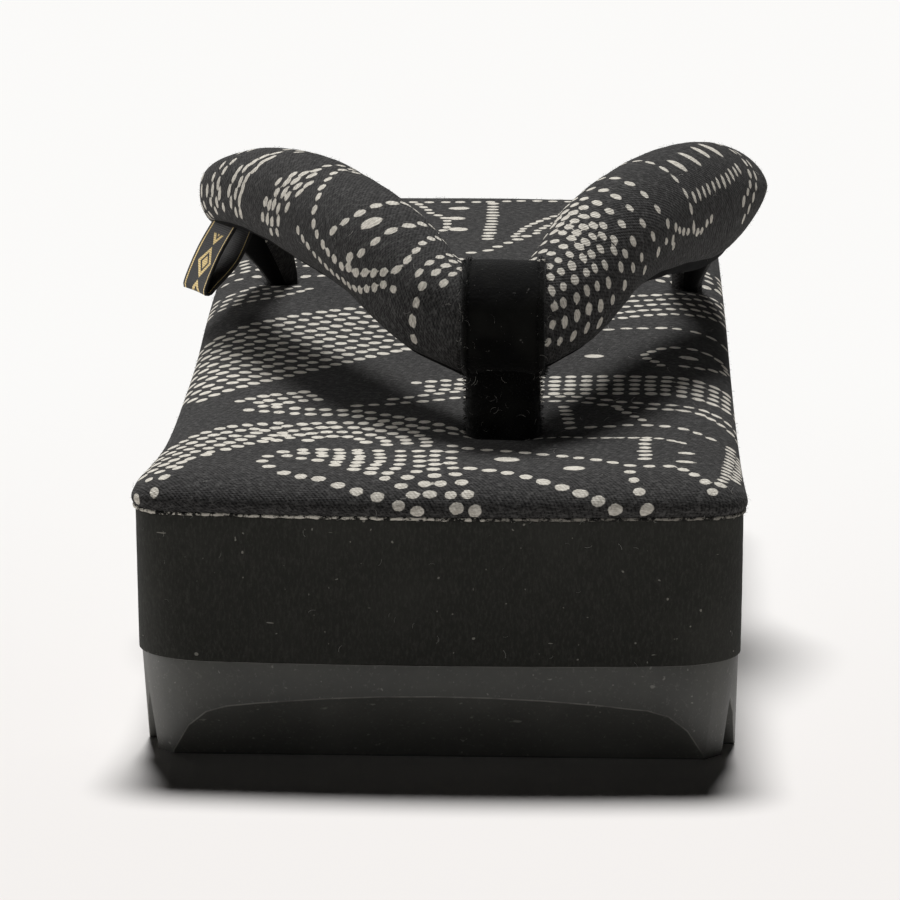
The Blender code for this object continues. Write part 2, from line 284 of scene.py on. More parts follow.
# Grains at even steps along a path, moved sideways by 'offset'; each is (x, y, angle, half long, half wide).
def grainsAlong(path, pitch, long, wide, start=0.0, offset=0.0, across=False):
    tangent = np.gradient(path, axis=0)
    tangent /= np.linalg.norm(tangent, axis=1)[:, None] + 1e-9
    side = np.stack([-tangent[:, 1], tangent[:, 0]], axis=1)
    moved = path + side * offset
    along = np.concatenate(([0], np.cumsum(np.linalg.norm(np.diff(moved, axis=0), axis=1))))
    grains = []
    at = start * pitch
    while at < along[-1]:
        x, y = (np.interp(at, along, moved[:, k]) for k in (0, 1))
        tx, ty = (np.interp(at, along, tangent[:, k]) for k in (0, 1))
        angle = np.arctan2(ty, tx) + (pi / 2 if across else 0.0)
        grains.append((x, y, angle, long / 2, wide / 2))
        at += pitch
    return grains


def row(points, pitch=3.2, long=2.2, wide=1.7, across=False):
    return grainsAlong(smoothPath(points), pitch, long, wide, across=across)


def band(points, rows, gap=3.2, pitch=3.0, long=2.2, wide=1.6, shift=0.5):
    path = smoothPath(points)
    grains = []
    for k in range(rows):
        grains += grainsAlong(path, pitch, long, wide, (shift * k) % 1.0, (k - (rows - 1) / 2) * gap)
    return grains


def arches(centre, radii, begin, end, pitch=2.9, long=2.2, wide=1.6):
    grains = []
    for k, radius in enumerate(radii):
        turns = np.radians(np.linspace(begin, end, 60))
        path = np.stack([centre[0] + radius * np.cos(turns), centre[1] + radius * np.sin(turns)], axis=1)
        grains += grainsAlong(path, pitch, long, wide, 0.5 * (k % 2))
    return grains


def ovals(places, long, wide, turn=0.0):
    return [(x, y, turn, long / 2, wide / 2) for x, y in places]


def grainTree(grains):
    tree = KDTree(len(grains))
    for i, (x, y, *_) in enumerate(grains):
        tree.insert((x, y, 0), i)
    tree.balance()
    return tree


# For each flat point, 0 at the middle of the nearest grain, 1 at its edge, more outside.
def printField(flat, grains, seed):
    rng = np.random.default_rng(seed)
    grains = np.array(grains)
    tree = grainTree(grains)
    taken = np.zeros(len(grains), bool)
    for i, (x, y, *_) in enumerate(grains):
        taken[i] = not any(taken[j] for _, j, _ in tree.find_range((x, y, 0), grain["apart"]))
    grains = grains[taken]
    grains[:, 0:2] += rng.normal(0, grain["stray"], (len(grains), 2))
    grains[:, 2] += rng.normal(0, grain["turnStray"], len(grains))
    grains[:, 3:5] *= rng.uniform(*grain["sizes"], (len(grains), 2))
    tree = grainTree(grains)
    values = np.full(len(flat), grain["reach"])
    for i, (x, y) in enumerate(flat):
        for _, j, distance in tree.find_n((x, y, 0), 3):
            if distance > grain["search"]:
                break
            gx, gy, turn, a, b = grains[j]
            dx, dy = x - gx, y - gy
            c, s = cos(turn), sin(turn)
            u, v = (c * dx + s * dy) / a, (-s * dx + c * dy) / b
            values[i] = min(values[i], sqrt(u * u + v * v))
    return values, len(grains)


# The print's field and the flat map, on a piece whose flat points are in metres.
def addPrint(piece, flat, grains, seed):
    values, count = printField(flat * 1000, grains, seed)
    layer = piece.data.attributes.new("print", "FLOAT", "POINT")
    layer.data.foreach_set("value", np.asarray(values, np.float32))
    setFlatMap(piece.data, "cloth", flat)
    print(piece.name, len(flat), "points,", count, "printed grains")


# A socket's name written as one word: baseColor is Base Color.
def socketName(word):
    return "".join(" " + c if c.isupper() else c for c in word[0].upper() + word[1:]).strip()


# Nodes by short calls: a value is a number, a colour, a vector or another node's socket.
class Nodes:
    def __init__(self, tree):
        self.tree = tree

    def put(self, socket, value):
        if isinstance(value, bpy.types.NodeSocket):
            self.tree.links.new(value, socket)
        elif socket.type == "RGBA":
            socket.default_value = (*value, 1)
        else:
            socket.default_value = value

    def fill(self, node, **sockets):
        for word, value in sockets.items():
            self.put(node.inputs[socketName(word)], value)
        return node

    def add(self, kind, **sockets):
        return self.fill(self.tree.nodes.new(kind), **sockets)

    def math(self, operation, *values):
        node = self.tree.nodes.new("ShaderNodeMath")
        node.operation = operation
        for socket, value in zip(node.inputs, values):
            self.put(socket, value)
        return node.outputs[0]

    def times(self, a, b):
        return self.math("MULTIPLY", a, b)

    def plus(self, a, b):
        return self.math("ADD", a, b)

    # A smooth step from 'low' to 'high'.
    def step(self, value, low, high, toLow=0.0, toHigh=1.0):
        node = self.tree.nodes.new("ShaderNodeMapRange")
        node.interpolation_type = "SMOOTHSTEP"
        self.fill(node, value=value, fromMin=low, fromMax=high, toMin=toLow, toMax=toHigh)
        return node.outputs["Result"]

    def mix(self, factor, a, b):
        node = self.tree.nodes.new("ShaderNodeMix")
        node.data_type = "RGBA"
        for k, value in ((0, factor), (6, a), (7, b)):
            self.put(node.inputs[k], value)
        return node.outputs[2]

    # Colours laid over one another, each by its own mask.
    def layers(self, colour, *masked):
        for mask, over in masked:
            colour = self.mix(mask, colour, over)
        return colour

    def noise(self, place, scale, detail=2.0, rough=0.5):
        node = self.add("ShaderNodeTexNoise", vector=place, scale=scale, detail=detail, roughness=rough)
        return node.outputs["Fac"]

    # Noise drawn out along the axes, by a scale for each.
    def streaks(self, place, scales, turn, detail, rough=0.5):
        node = self.add("ShaderNodeMapping", vector=place, scale=scales, rotation=(0, 0, turn))
        return self.noise(node.outputs[0], 1.0, detail, rough)

    def bump(self, height, strength, distance):
        return self.add("ShaderNodeBump", height=height, strength=strength, distance=distance).outputs[0]

    def split(self, vector):
        return self.add("ShaderNodeSeparateXYZ", vector=vector).outputs

    def place(self):
        return self.add("ShaderNodeTexCoord").outputs["Object"]

    def flat(self, name):
        node = self.add("ShaderNodeUVMap")
        node.uv_map = name
        return node.outputs[0]

    # Height and slub of the shared twill.
    def weave(self, flat, ribs):
        node = self.tree.nodes.new("ShaderNodeGroup")
        node.node_tree = twill
        outputs = self.fill(node, flat=flat, ribs=ribs).outputs
        return outputs["Height"], outputs["Slub"]

    # Sockets of the material's own shader.
    def surface(self, **sockets):
        self.fill(self.tree.nodes["Principled BSDF"], **sockets)


def newMaterial(name, colour, roughness, specular):
    material = bpy.data.materials.new(name)
    material.use_nodes = True
    material.diffuse_color = (*colour, 1)
    nodes = Nodes(material.node_tree)
    nodes.surface(baseColor=colour, roughness=roughness)
    material.node_tree.nodes["Principled BSDF"].inputs["Specular IOR Level"].default_value = specular
    return material, nodes


# Diagonal ribs of yarn: a height, and a mask of the yarns' tops.
def twillGroup():
    group = bpy.data.node_groups.new("twill", "ShaderNodeTree")
    for label, kind in (("Flat", "NodeSocketVector"), ("Ribs", "NodeSocketFloat")):
        group.interface.new_socket(label, in_out="INPUT", socket_type=kind)
    for label in ("Height", "Slub"):
        group.interface.new_socket(label, in_out="OUTPUT", socket_type="NodeSocketFloat")
    n = Nodes(group)
    flat, ribs = n.add("NodeGroupInput").outputs[:2]
    out = n.add("NodeGroupOutput").inputs
    x, y, _ = n.split(flat)
    diagonal = n.plus(x, n.times(y, 0.62))
    wobble = n.times(n.noise(flat, 180.0), 0.25)
    phase = n.plus(n.times(diagonal, ribs), wobble)
    warp = n.math("SINE", n.times(phase, 2 * pi))
    weft = n.math("SINE", n.times(n.times(y, n.times(ribs, 1.5)), 2 * pi))
    n.put(out["Height"], n.math("MULTIPLY_ADD", n.plus(warp, n.times(weft, 0.45)), 0.35, 0.5))
    n.put(out["Slub"], n.streaks(flat, (900.0, 2600.0, 1.0), 0.5, 3.0, 0.7))
    return group


twill = twillGroup()

cloth = {
    "ground": (0.0066, 0.0066, 0.0072),
    "groundWarm": (0.0100, 0.0095, 0.0093),
    # the colour of real slubs and flecks, and also the painted highlight on the ribs' tops
    "yarn": (0.082, 0.080, 0.078),
    # painted shade, laid into the weave's valleys
    "deep": (0.004, 0.004, 0.0045),
    "ink": (0.76, 0.725, 0.65),
    "inkDull": (0.47, 0.44, 0.385),
    "roughness": 0.9,
    "specular": 0.08,
    "sheen": 0.015,
    "sheenRoughness": 0.45,
    "ribs": 1450.0,
    "ragged": 0.35,  # how far the weave breaks a grain's edge
    "fleck": 0.85,
    "lint": 0.35,
    "fuzz": 0.7,
    "bump": 0.8,
    "bumpDepth": 0.12 * mm,
}


# Charcoal twill with off-white grains where the 'print' attribute is below 1.
def printedTwill():
    material, n = newMaterial("printedTwill", cloth["ground"], cloth["roughness"], cloth["specular"])
    n.surface(sheenWeight=cloth["sheen"], sheenRoughness=cloth["sheenRoughness"])
    flat = n.flat("cloth")
    weave, slub = n.weave(flat, cloth["ribs"])
    dot = n.add("ShaderNodeAttribute")
    dot.attribute_name = "print"
    ragged = n.times(n.math("SUBTRACT", n.noise(flat, 1500.0), 0.5), cloth["ragged"])
    mask = n.step(n.plus(dot.outputs["Fac"], ragged), 1.08, 0.92)
    ground = n.mix(n.step(n.noise(flat, 45.0, 3.0), 0.3, 0.7), cloth["ground"], cloth["groundWarm"])
    mottle = n.noise(flat, 820.0, 4.0, 0.75)  # tweed-like flecks about 1 mm across
    ground = n.layers(
        ground,
        (n.step(slub, 0.42, 0.72), cloth["yarn"]),
        (n.step(mottle, 0.53, 0.63, 0.0, cloth["fleck"]), cloth["yarn"]),
        # painted shade: the weave's valleys are darkened
        (n.step(weave, 0.0, -0.45, 0.0, 0.75), cloth["deep"]),
        # painted highlight: the tops of the ribs are lightened
        (n.step(weave, 0.12, 0.50, 0.0, 0.30), cloth["yarn"]),
    )
    ink = n.mix(n.step(slub, 0.35, 0.65), cloth["ink"], cloth["inkDull"])
    lint = n.times(n.step(n.noise(flat, 2400.0, 1.0), 0.80, 0.84), cloth["lint"])
    colour = n.layers(ground, (mask, ink), (lint, cloth["ink"]))
    height = n.plus(weave, n.times(n.noise(flat, 3200.0, 2.0, 0.8), cloth["fuzz"]))
    height = n.plus(height, n.times(mask, 0.5))
    n.surface(baseColor=colour, normal=n.bump(height, cloth["bump"], cloth["bumpDepth"]))
    return material


clothMaterial = printedTwill()
print("materials for the cloth are ready")

# Footbed: a pad under the printed cloth, rolled at the rim and drawn down round the strap ends and post
pad = {
    "height": 5.2 * mm,
    "overhang": 0.7 * mm,
    "rim": 1.2 * mm,
    "tuck": 0.5 * mm,
    "roll": 12.0 * mm,  # how far in the cloth keeps rising
    "rise": 5.5 * mm,
    "rollSteps": 26,
    "acrossSteps": 148,
    "lengthSteps": 376,
    "dip": 1.25 * mm,
    "dipReach": 4.2 * mm,
    "wallReach": 0.9 * mm,
    "floor": 0.3 * mm,  # of a pit, over the board
    "folds": 0.22 * mm,
    "unevenness": 0.22 * mm,
    "broadWave": (21 * mm, 26 * mm),
    "fineWave": (9 * mm, 11 * mm),
}
strap = {
    "offset": 9.6 * mm,
    "apexBack": 46.0 * mm,
    "apexSpread": 4.2 * mm,
    "holeBack": 172.0 * mm,
    "holeWidth": 9.8 * mm,
    "holeRoom": 0.35 * mm,
    "margin": (7.2 * mm, 1.3 * mm),  # lateral, medial
    "bow": (6.9 * mm, 6.9 * mm),
    "crest": (24.7 * mm, 26.5 * mm),
    "width": 19.6 * mm,
    "thickness": 19.6 * mm,
    "foot": 1.2 * mm,
    "footSteps": 6,
    "stations": 208,
    "sides": 88,
    "noseSteps": 8,
    "seamTurn": 58.0,  # degrees below the side where cloth meets lining
    "seamDip": 0.35 * mm,
    "seamReach": 0.7 * mm,
    "unevenness": 0.20 * mm,
    "lumps": (13 * mm, 5 * mm),
}
post = {
    "ahead": 3.0 * mm,
    "width": 12.8 * mm,
    "depth": 11.0 * mm,
    "waist": 0.90,
    "square": 2.1,
    "foot": 0.6 * mm,
    "room": 0.3 * mm,
    "sides": 72,
    "rows": 40,
    "bandWidth": 14.2 * mm,
    "bandWall": 1.35 * mm,
    "bandLap": 4.6 * mm,
    "bandLean": radians(14),
    "bandEdge": 1.1 * mm,
    "bandSag": 0.5 * mm,
    "bandSides": 96,
    "bandSteps": 16,
    "bandEdgeSteps": 6,
    "bandRough": 0.12 * mm,
    "lump": 4 * mm,
    "smallLump": 1.8 * mm,
    "lumpSizes": (0.025, 0.02),
}
lining = {
    "plain": (0.004, 0.004, 0.004),
    "dark": (0.003, 0.003, 0.003),
    "worn": (0.009, 0.0085, 0.0085),
    "roughness": 0.95,
    "specular": 0.06,
    "ribs": 1900.0,
    "bump": 0.4,
    "bumpDepth": 0.08 * mm,
}
# Shares of the strap's sizes along an arm. belly: how much deeper it is below its middle than above
armColumns = "back out pull rise width thickness belly square"
armFront = (
    (0.000, 0.000, 0.000, 0.670, 0.740, 0.840, 1.000, 2.10),
    (0.070, 0.165, 0.000, 0.765, 0.810, 0.900, 1.000, 2.10),
)
lateralRows = table(
    armColumns,
    *armFront,
    (0.220, 0.370, 0.000, 0.985, 0.930, 0.930, 1.000, 2.10),
    (0.420, 0.600, 0.000, 1.055, 0.960, 0.950, 1.000, 2.10),
    (0.580, 0.800, 0.000, 1.050, 0.880, 0.850, 1.000, 2.20),
    (0.700, 0.945, 0.000, 0.950, 0.780, 0.680, 1.000, 2.40),
    (0.780, 1.000, 0.050, 0.840, 0.670, 0.550, 1.100, 2.50),
    (0.860, 1.000, 0.300, 0.640, 0.530, 0.440, 1.450, 2.40),
    (0.930, 1.000, 0.700, 0.370, 0.400, 0.370, 1.700, 2.20),
    (0.975, 1.000, 0.940, 0.140, 0.310, 0.350, 1.400, 2.10),
    (1.000, 1.000, 1.000, 0.020, 0.290, 0.350, 1.100, 2.10),
)
medialRows = table(
    armColumns,
    *armFront,
    (0.220, 0.370, 0.000, 0.985, 0.930, 0.930, 1.050, 2.10),
    (0.420, 0.600, 0.000, 1.010, 0.990, 1.010, 1.150, 2.10),
    (0.580, 0.800, 0.000, 0.985, 0.960, 0.980, 1.360, 1.95),
    (0.700, 0.945, 0.000, 0.920, 0.870, 0.870, 1.160, 1.75),
    (0.780, 1.000, 0.020, 0.870, 0.760, 0.720, 1.060, 1.60),
    (0.860, 1.000, 0.500, 0.710, 0.600, 0.520, 1.300, 1.70),
    (0.930, 1.000, 0.820, 0.430, 0.520, 0.440, 1.700, 1.90),
    (0.975, 1.000, 0.970, 0.150, 0.340, 0.340, 1.400, 2.10),
    (1.000, 1.000, 1.000, 0.020, 0.280, 0.320, 1.200, 2.10),
)
armRows = (lateralRows, medialRows)


def padTop(back):
    return seatHeight(back) + sole["gap"] + pad["height"]


def holeOut(side):
    return sideWidth(strap["holeBack"], side) - strap["margin"][side > 0] - strap["holeWidth"] / 2


# Where something goes down into the footbed: (x, back, half across, half along).
def wells():
    found = []
    for side in (1, -1):
        end = armRows[side > 0][-1]
        a = strap["width"] / 2 * end["width"] + strap["holeRoom"]
        b = strap["thickness"] / 2 * end["thickness"] + strap["holeRoom"]
        found.append((side * holeOut(side), strap["holeBack"], a, b))
    halves = [post[k] / 2 * post["waist"] + post["room"] for k in ("width", "depth")]
    return found + [(strap["offset"], strap["apexBack"] - post["ahead"], *halves)]


# Heights of the cloth at plan points whose plain rise over the board is given.
def padSurface(x, back, rise):
    board = np.array([seatHeight(b) for b in back]) + sole["gap"]
    z = board + rise
    top = rise > pad["rim"]
    for n, (cx, cy, a, b) in enumerate(wells()):
        dx, dy = x - cx, back - cy
        e = np.sqrt((dx / a) ** 2 + (dy / b) ** 2)
        out = (e - 1) * (a + b) / 2
        turn = np.arctan2(dy, dx)
        near = np.exp(-np.clip(out, 0, None) / pad["dipReach"])
        ripple = np.cos(5 * turn + n) * 0.6 + np.cos(3 * turn + 2 * n + 1) * 0.4
        change = -pad["dip"] * near**1.5 + pad["folds"] * ripple * near * (1 - near**4)
        z += np.where(top & (out > 0), change, 0)
        inside = np.clip(-out / pad["wallReach"], 0, 1)
        floor = board + pad["floor"]
        sunk = z + np.where(top & (out <= 0), -pad["dip"], 0)
        z = np.where(top & (out <= 0), sunk * (1 - inside) + floor * inside, z)
    wave = 0
    for (wide, long), level, amount in ((pad["broadWave"], 3.1, 1.0), (pad["fineWave"], 7.7, 0.5)):
        wave = wave + amount * np.array([noise.noise((px / wide, py / long, level)) for px, py in zip(x, back)])
    fade = np.clip((rise - pad["rim"]) / (pad["rise"] - pad["rim"]), 0, 1)
    return z + wave * pad["unevenness"] * fade


# The footbed's print, charted on the flat cloth: x across, y back from the toe, both in mm.
def footbedPrint():
    g = []
    # fan over the front edge, column by column from the medial side
    fan = (
        (1.6, 24.4), (1.6, 19.7), (1.7, 15.9), (2.2, 12.2), (2.7, 8.4), (3.8, 4.8), (5.0, 1.2), (6.5, -2.1),
        (-1.1, 25.0), (-1.1, 21.5), (-1.0, 18.1), (-0.9, 14.8), (-0.8, 11.3), (-0.6, 7.6),
        (0.6, 4.3), (2.2, 1.0), (3.4, -1.7),
        (-4.1, 25.1), (-3.7, 20.8), (-3.5, 17.2), (-3.4, 13.4), (-3.8, 9.7), (-2.1, 4.2), (-1.0, 1.1),
        (-7.1, 25.2), (-6.9, 21.2), (-6.8, 17.9), (-6.8, 14.7), (-7.3, 11.5), (-8.2, 8.7), (-5.0, 6.6),
        (-10.7, 25.2), (-10.4, 22.4), (-10.1, 19.6), (-10.1, 16.8), (-10.7, 14.2), (-11.0, 11.5), (-11.4, 8.6),
        (-8.6, 6.1), (-6.0, 3.4), (-3.9, 0.8), (-3.1, -2.3), (-6.4, -1.1),
        (-14.2, 25.6), (-14.0, 23.1), (-13.7, 20.7), (-13.6, 18.3), (-13.8, 15.9), (-13.9, 13.5), (-14.1, 10.8),
        (-17.3, 25.6), (-17.0, 23.2), (-16.9, 20.8), (-16.9, 18.5), (-17.2, 16.2), (-17.5, 13.8),
        (-20.3, 25.4), (-20.1, 22.9), (-19.9, 20.3), (-20.3, 17.2), (-23.4, 24.8), (-23.0, 22.3), (-23.2, 18.2),
        (-26.5, 22.8), (-25.6, 20.0), (-28.6, 19.6), (-29.6, 16.0), (-28.2, 12.1),
    )
    g += ovals(fan, 2.2, 2.1)
    g += ovals([(-25.6, 8.4), (-22.7, 6.9), (-19.6, 6.0), (-16.3, 3.7), (-13.2, 1.8), (-9.8, 0.5)], 2.4, 2.3)
    g += ovals([(-43.1, 12.3), (-45.2, 7.4), (-41.7, 18.3), (-38.6, 22.0)], 2.4, 1.7, 1.1)
    g += ovals([(-46.9, 3.1), (-48.1, 8.4), (-50.6, 4.2)], 2.5, 1.5, 1.5)
    g += row([(5, 12), (12, 9), (19, 4.5), (26, 1), (32.5, -2)], 3.5, 2.5, 2.1)
    rim = [(1.5, 29), (5, 27), (12, 25), (20, 22), (27, 18.5), (32.5, 15), (38, 15), (41, 11.5), (44, 7), (46, 2)]
    g += row(rim, 3.3, 2.3, 1.8)
    g += row([(31.5, 11), (32, 7), (33.5, 2.5), (35.5, -1)], 4.0, 2.2, 2.0)
    g += arches((-18, 31), (15.2, 11.8, 8.4, 5.0), -6, 176, 2.7, 2.1, 2.2)
    g += band([(-53, 14), (-48, 20), (-42, 27), (-35, 35), (-24, 40.5)], 5, 3.2, 2.7, 2.0, 2.2)
    g += ovals([(11, 19), (22.3, 13)], 4.0, 3.2)
    g += ovals([(40.6, 25.8), (40.6, 18.7)], 3.4, 1.9, 0.2)
    g += row([(33.7, 35), (33.8, 19)], 2.9, 2.4, 1.8, across=True)
    g += row([(11, 37), (18, 37.4), (26, 36.6), (35, 36.7), (41, 33)], 2.3, 1.9, 1.2)
    g += row([(21, 45), (27, 45.5), (33, 47), (39, 45), (45, 40)], 3.3)
    g += row([(48.5, 38), (48, 24), (47, 11), (46, 3)], 2.6, 2.2, 1.6, across=True)
    g += row([(50.5, 34), (50, 22), (49, 12)], 2.6, 2.2, 1.6, across=True)
    g += row([(19.5, 60), (20.5, 51), (20.8, 44)], 2.9, 2.2, 1.7, across=True)
    # double row and wedge on the lateral side
    g += band([(-34, 57), (-26, 55), (-17, 53.5), (-8, 48), (0, 43), (5, 41)], 2, 3.6, 2.8, 2.1, 2.2)
    g += band([(-34, 60), (-30, 64), (-23, 67.5)], 3, 3.4, 2.7, 2.0, 2.2)
    # band from the middle to the medial edge, and its loop
    g += row([(-16, 59), (-8, 62), (2, 67), (12, 71)], 3.0)
    g += row([(-10, 65), (-2, 70), (8, 76)], 3.0)
    g += band([(-4, 72), (6, 76), (16, 77.5), (28, 78), (40, 77.5), (53, 74)], 5, 3.6, 2.8, 2.1, 2.3)
    g += band([(12, 65), (20, 66.5), (28, 63), (36, 61), (44, 59), (52, 50)], 2, 3.6, 2.9)
    g += row([(29, 59), (33, 51), (34, 46)], 3.0)
    # wide band crossing on the lateral side
    wide = [(-56, 80), (-48, 88), (-38, 101), (-28, 113), (-17, 124), (-4, 132), (8, 136)]
    g += band(wide, 10, 3.9, 3.1, 2.2, 2.4, 0.35)
    g += band([(-56, 150), (-47, 153), (-39, 157), (-33, 166)], 4, 3.6, 3.0)
    g += band([(20, 142), (29, 147), (38, 150), (48, 156), (56, 160)], 5, 4.3, 2.6, 2.0, 1.8)
    g += row([(14, 112), (20, 122), (30, 127), (42, 127), (54, 121)], 3.2)
    g += row([(36, 96), (33, 104), (38, 111), (46, 109), (48, 101), (43, 96), (37, 96)], 3.0)
    g += ovals([(41, 103), (24, 103), (14, 100)], 3.4, 2.8)
    # under and behind the arms
    g += row([(9, 214), (6, 207.5), (4, 203.5), (2, 199.5), (-3, 196)], 4.0, 2.3, 2.2)
    g += row([(1.6, 211), (1.9, 227), (1.5, 249)], 3.1, 2.6, 2.0, across=True)
    g += row([(-40, 239), (-28, 246), (-14, 249), (0, 250), (12, 251.5), (26, 248), (38, 240)], 3.1, 2.1, 1.9)
    g += ovals([(-5, 243), (-5, 232), (-4.5, 221)], 4.0, 3.2)
    g += row([(-13, 247), (-10.5, 238), (-7, 230), (-8, 218), (-16, 210)], 3.2)
    g += band([(10, 213), (13, 226), (20, 238), (32, 244)], 3, 3.4, 2.9)
    g += arches((30, 208), (4.5, 8.0, 11.5, 15.0), -60, 220, 2.9, 2.2, 1.8)
    g += arches((-32, 216), (4.0, 7.4, 10.8), 0, 360, 2.9, 2.2, 1.8)
    waist = [(-56, 190), (-44, 186), (-30, 189), (-18, 196), (-6, 186), (4, 176), (18, 172), (30, 178), (54, 184)]
    g += band(waist, 4, 3.6, 3.0, 2.2, 1.8)
    g += row([(-50, 172), (-38, 176), (-24, 172), (-14, 162), (-2, 158), (10, 160)], 3.2)
    g += row([(-50, 240), (-40, 232), (-44, 222), (-54, 216)], 3.2)
    g += band([(-34, 262), (-16, 258), (0, 260), (16, 257), (34, 262)], 2, 3.4, 3.0)
    return g


def makeFootbed():
    n, m = pad["acrossSteps"], pad["lengthSteps"]
    ringCount = 2 * (n + m)
    profile = [(pad["tuck"] * (1 - k / 3) ** 2, pad["rim"] * k / 3) for k in range(4)]
    for k in range(1, pad["rollSteps"] + 1):
        turn = pi / 2 * (k / pad["rollSteps"]) ** 0.9
        profile.append((pad["roll"] * (1 - cos(turn)), pad["rim"] + (pad["rise"] - pad["rim"]) * sin(turn)))
    lengths = [0.0]
    for (a, b), (c, d) in zip(profile[::-1], profile[-2::-1]):
        lengths.append(lengths[-1] + sqrt((a - c) ** 2 + (b - d) ** 2))
    flatInset = [pad["roll"] - run for run in lengths][::-1]
    plan, flat, rise = [], [], []
    for (inset, lift), laid in zip(profile, flatInset):
        plan.append(soleRing(pad["overhang"] - inset, sole["clothCorner"], n, m))
        flat.append(soleRing(pad["overhang"] - laid, sole["clothCorner"], n, m))
        rise.append(np.full(ringCount, lift))
    rings = len(profile)
    # inside the last ring, a grid drawn between the outline's four stretches
    toe, medial, heel, lateral = soleSections(pad["overhang"] - pad["roll"], sole["clothCorner"], n, m)
    heel, lateral = heel[::-1], lateral[::-1]
    u = np.linspace(0, 1, n + 1)[1:-1][None, :, None]
    v = np.linspace(0, 1, m + 1)[1:-1][:, None, None]
    inner = (
        (1 - v) * toe[None, 1:-1] + v * heel[None, 1:-1]
        + (1 - u) * lateral[1:-1, None] + u * medial[1:-1, None]
        - (1 - u) * (1 - v) * toe[0] - u * (1 - v) * toe[-1] - (1 - u) * v * heel[0] - u * v * heel[-1]
    ).reshape(-1, 2)
    plan = np.concatenate(plan + [inner])
    flat = np.concatenate(flat + [inner])
    rise = np.concatenate(rise + [np.full(len(inner), pad["rise"])])
    points = toFrame(plan[:, 0], plan[:, 1], padSurface(plan[:, 0], plan[:, 1], rise))

    base, innerStart = (rings - 1) * ringCount, rings * ringCount

    def at(i, j):
        if j == 0:
            return base + i
        if i == n:
            return base + n + j
        if j == m:
            return base + n + m + (n - i)
        if i == 0:
            return base + (2 * n + m + (m - j)) % ringCount
        return innerStart + (j - 1) * (n - 1) + i - 1

    faces = ringFaces(rings, ringCount)
    faces += [(at(i, j), at(i + 1, j), at(i + 1, j + 1), at(i, j + 1)) for j in range(m) for i in range(n)]
    faces.append(tuple(range(ringCount - 1, -1, -1)))
    piece = meshPiece("footbedPad", points, faces, clothMaterial)
    addPrint(piece, flat, footbedPrint(), 11)
    return piece


footbed = finishPiece(makeFootbed(), "cloth", "footbed")


# Strap: two padded arms, printed cloth above and plain black lining below. Each station is the arm's
# middle, with the shares of its section; the last ones go straight down into the pit.
def strapStations(side, count):
    bow, crest = strap["bow"][side > 0], strap["crest"][side > 0]
    hole = holeOut(side) - side * strap["offset"]
    stations, rows = [], armRows[side > 0]
    for k in range(count + 1):
        share = k / count
        at = {c: throughRows(rows, c, share) for c in rows[0]}
        back = strap["apexBack"] + (strap["holeBack"] - strap["apexBack"]) * share
        out = strap["apexSpread"] + (hole + bow - strap["apexSpread"]) * at["out"] - bow * at["pull"]
        x = strap["offset"] + side * out
        centre = Vector(toFrame(x, back, padTop(back) + crest * at["rise"]))
        stations.append((centre, at["width"], at["thickness"], at["belly"], at["square"]))
    centre, *shares = stations[-1]
    drop = centre.z - (seatHeight(strap["holeBack"]) + strap["foot"])
    for k in range(1, strap["footSteps"] + 1):
        z = centre.z - drop * k / strap["footSteps"]
        stations.append((Vector((centre.x, centre.y, z)), *shares))
    return stations


def sectionPoint(turn, square):
    power = 2 / square
    c, s = cos(turn), sin(turn)
    return abs(c) ** power * (1 if c >= 0 else -1), abs(s) ** power * (1 if s >= 0 else -1)


def makeArm(name, side, grains, seed):
    stations = strapStations(side, strap["stations"])
    centres = [s[0] for s in stations]
    last, sides, steps = len(centres) - 1, strap["sides"], strap["footSteps"]
    up = Vector((0, 0, 1))
    points, flat = [], []
    travelled = 0.0
    seam = radians(-strap["seamTurn"])
    for i, (centre, width, thickness, belly, square) in enumerate(stations):
        low, high = max(i - steps, 0), min(i + steps, last)
        along = (centres[high] - centres[low]).normalized()
        if i > last - steps:
            along = along.lerp(Vector((0, 0, -1)), 1 - (last - i) / steps).normalized()
        up = (up - along * up.dot(along)).normalized()
        across = along.cross(up).normalized()
        travelled += (centre - centres[i - 1]).length if i else 0.0
        halfWidth = strap["width"] / 2 * width
        halfThick = strap["thickness"] / 2 * thickness
        girth = 2 * pi * sqrt((halfWidth**2 + halfThick**2) / 2)
        tips = [(0.0, 1.0)]
        if i == 0:  # a round nose, hidden under the band
            turns = [pi / 2 * k / (strap["noseSteps"] + 1) for k in range(1, strap["noseSteps"] + 1)]
            tips = [(-halfWidth * cos(t), sin(t)) for t in turns] + tips
        for ahead, size in tips:
            for k in range(sides):
                turn = 2 * pi * (k / sides - 0.25)  # starts at the middle of the lining
                u, v = sectionPoint(turn, square)
                sideways = across * (u * halfWidth * size)
                spot = centre + along * ahead + sideways + up * (v * halfThick * size * (belly if v < 0 else 1.0))
                radial = (across * (u / halfWidth) + up * (v / halfThick)).normalized()
                fold = min(abs(turn - seam), abs(turn - (-pi - seam)), abs(turn - (pi - seam))) * girth / (2 * pi)
                spot -= radial * (strap["seamDip"] * np.exp(-((fold / strap["seamReach"]) ** 2)) * size)
                broad, fine = strap["lumps"]
                lump = noise.noise(spot / broad + Vector((seed, 0, 0))) + 0.5 * noise.noise(spot / fine)
                spot += radial * (lump * strap["unevenness"] * size)
                points.append(spot)
                flat.append((girth * (k / sides - 0.5), travelled + ahead))
    faces = tubeFaces(len(points) // sides, sides)
    piece = meshPiece(name, points, faces, clothMaterial, liningCloth)
    addPrint(piece, np.array(flat), grains, seed)
    liningShare = (90 - strap["seamTurn"]) / 360
    for index, face in enumerate(piece.data.polygons):
        middle = (index % sides + 0.5) / sides
        if index >= len(faces) - 2 or middle < liningShare or middle > 1 - liningShare:
            face.material_index = 1
    return piece


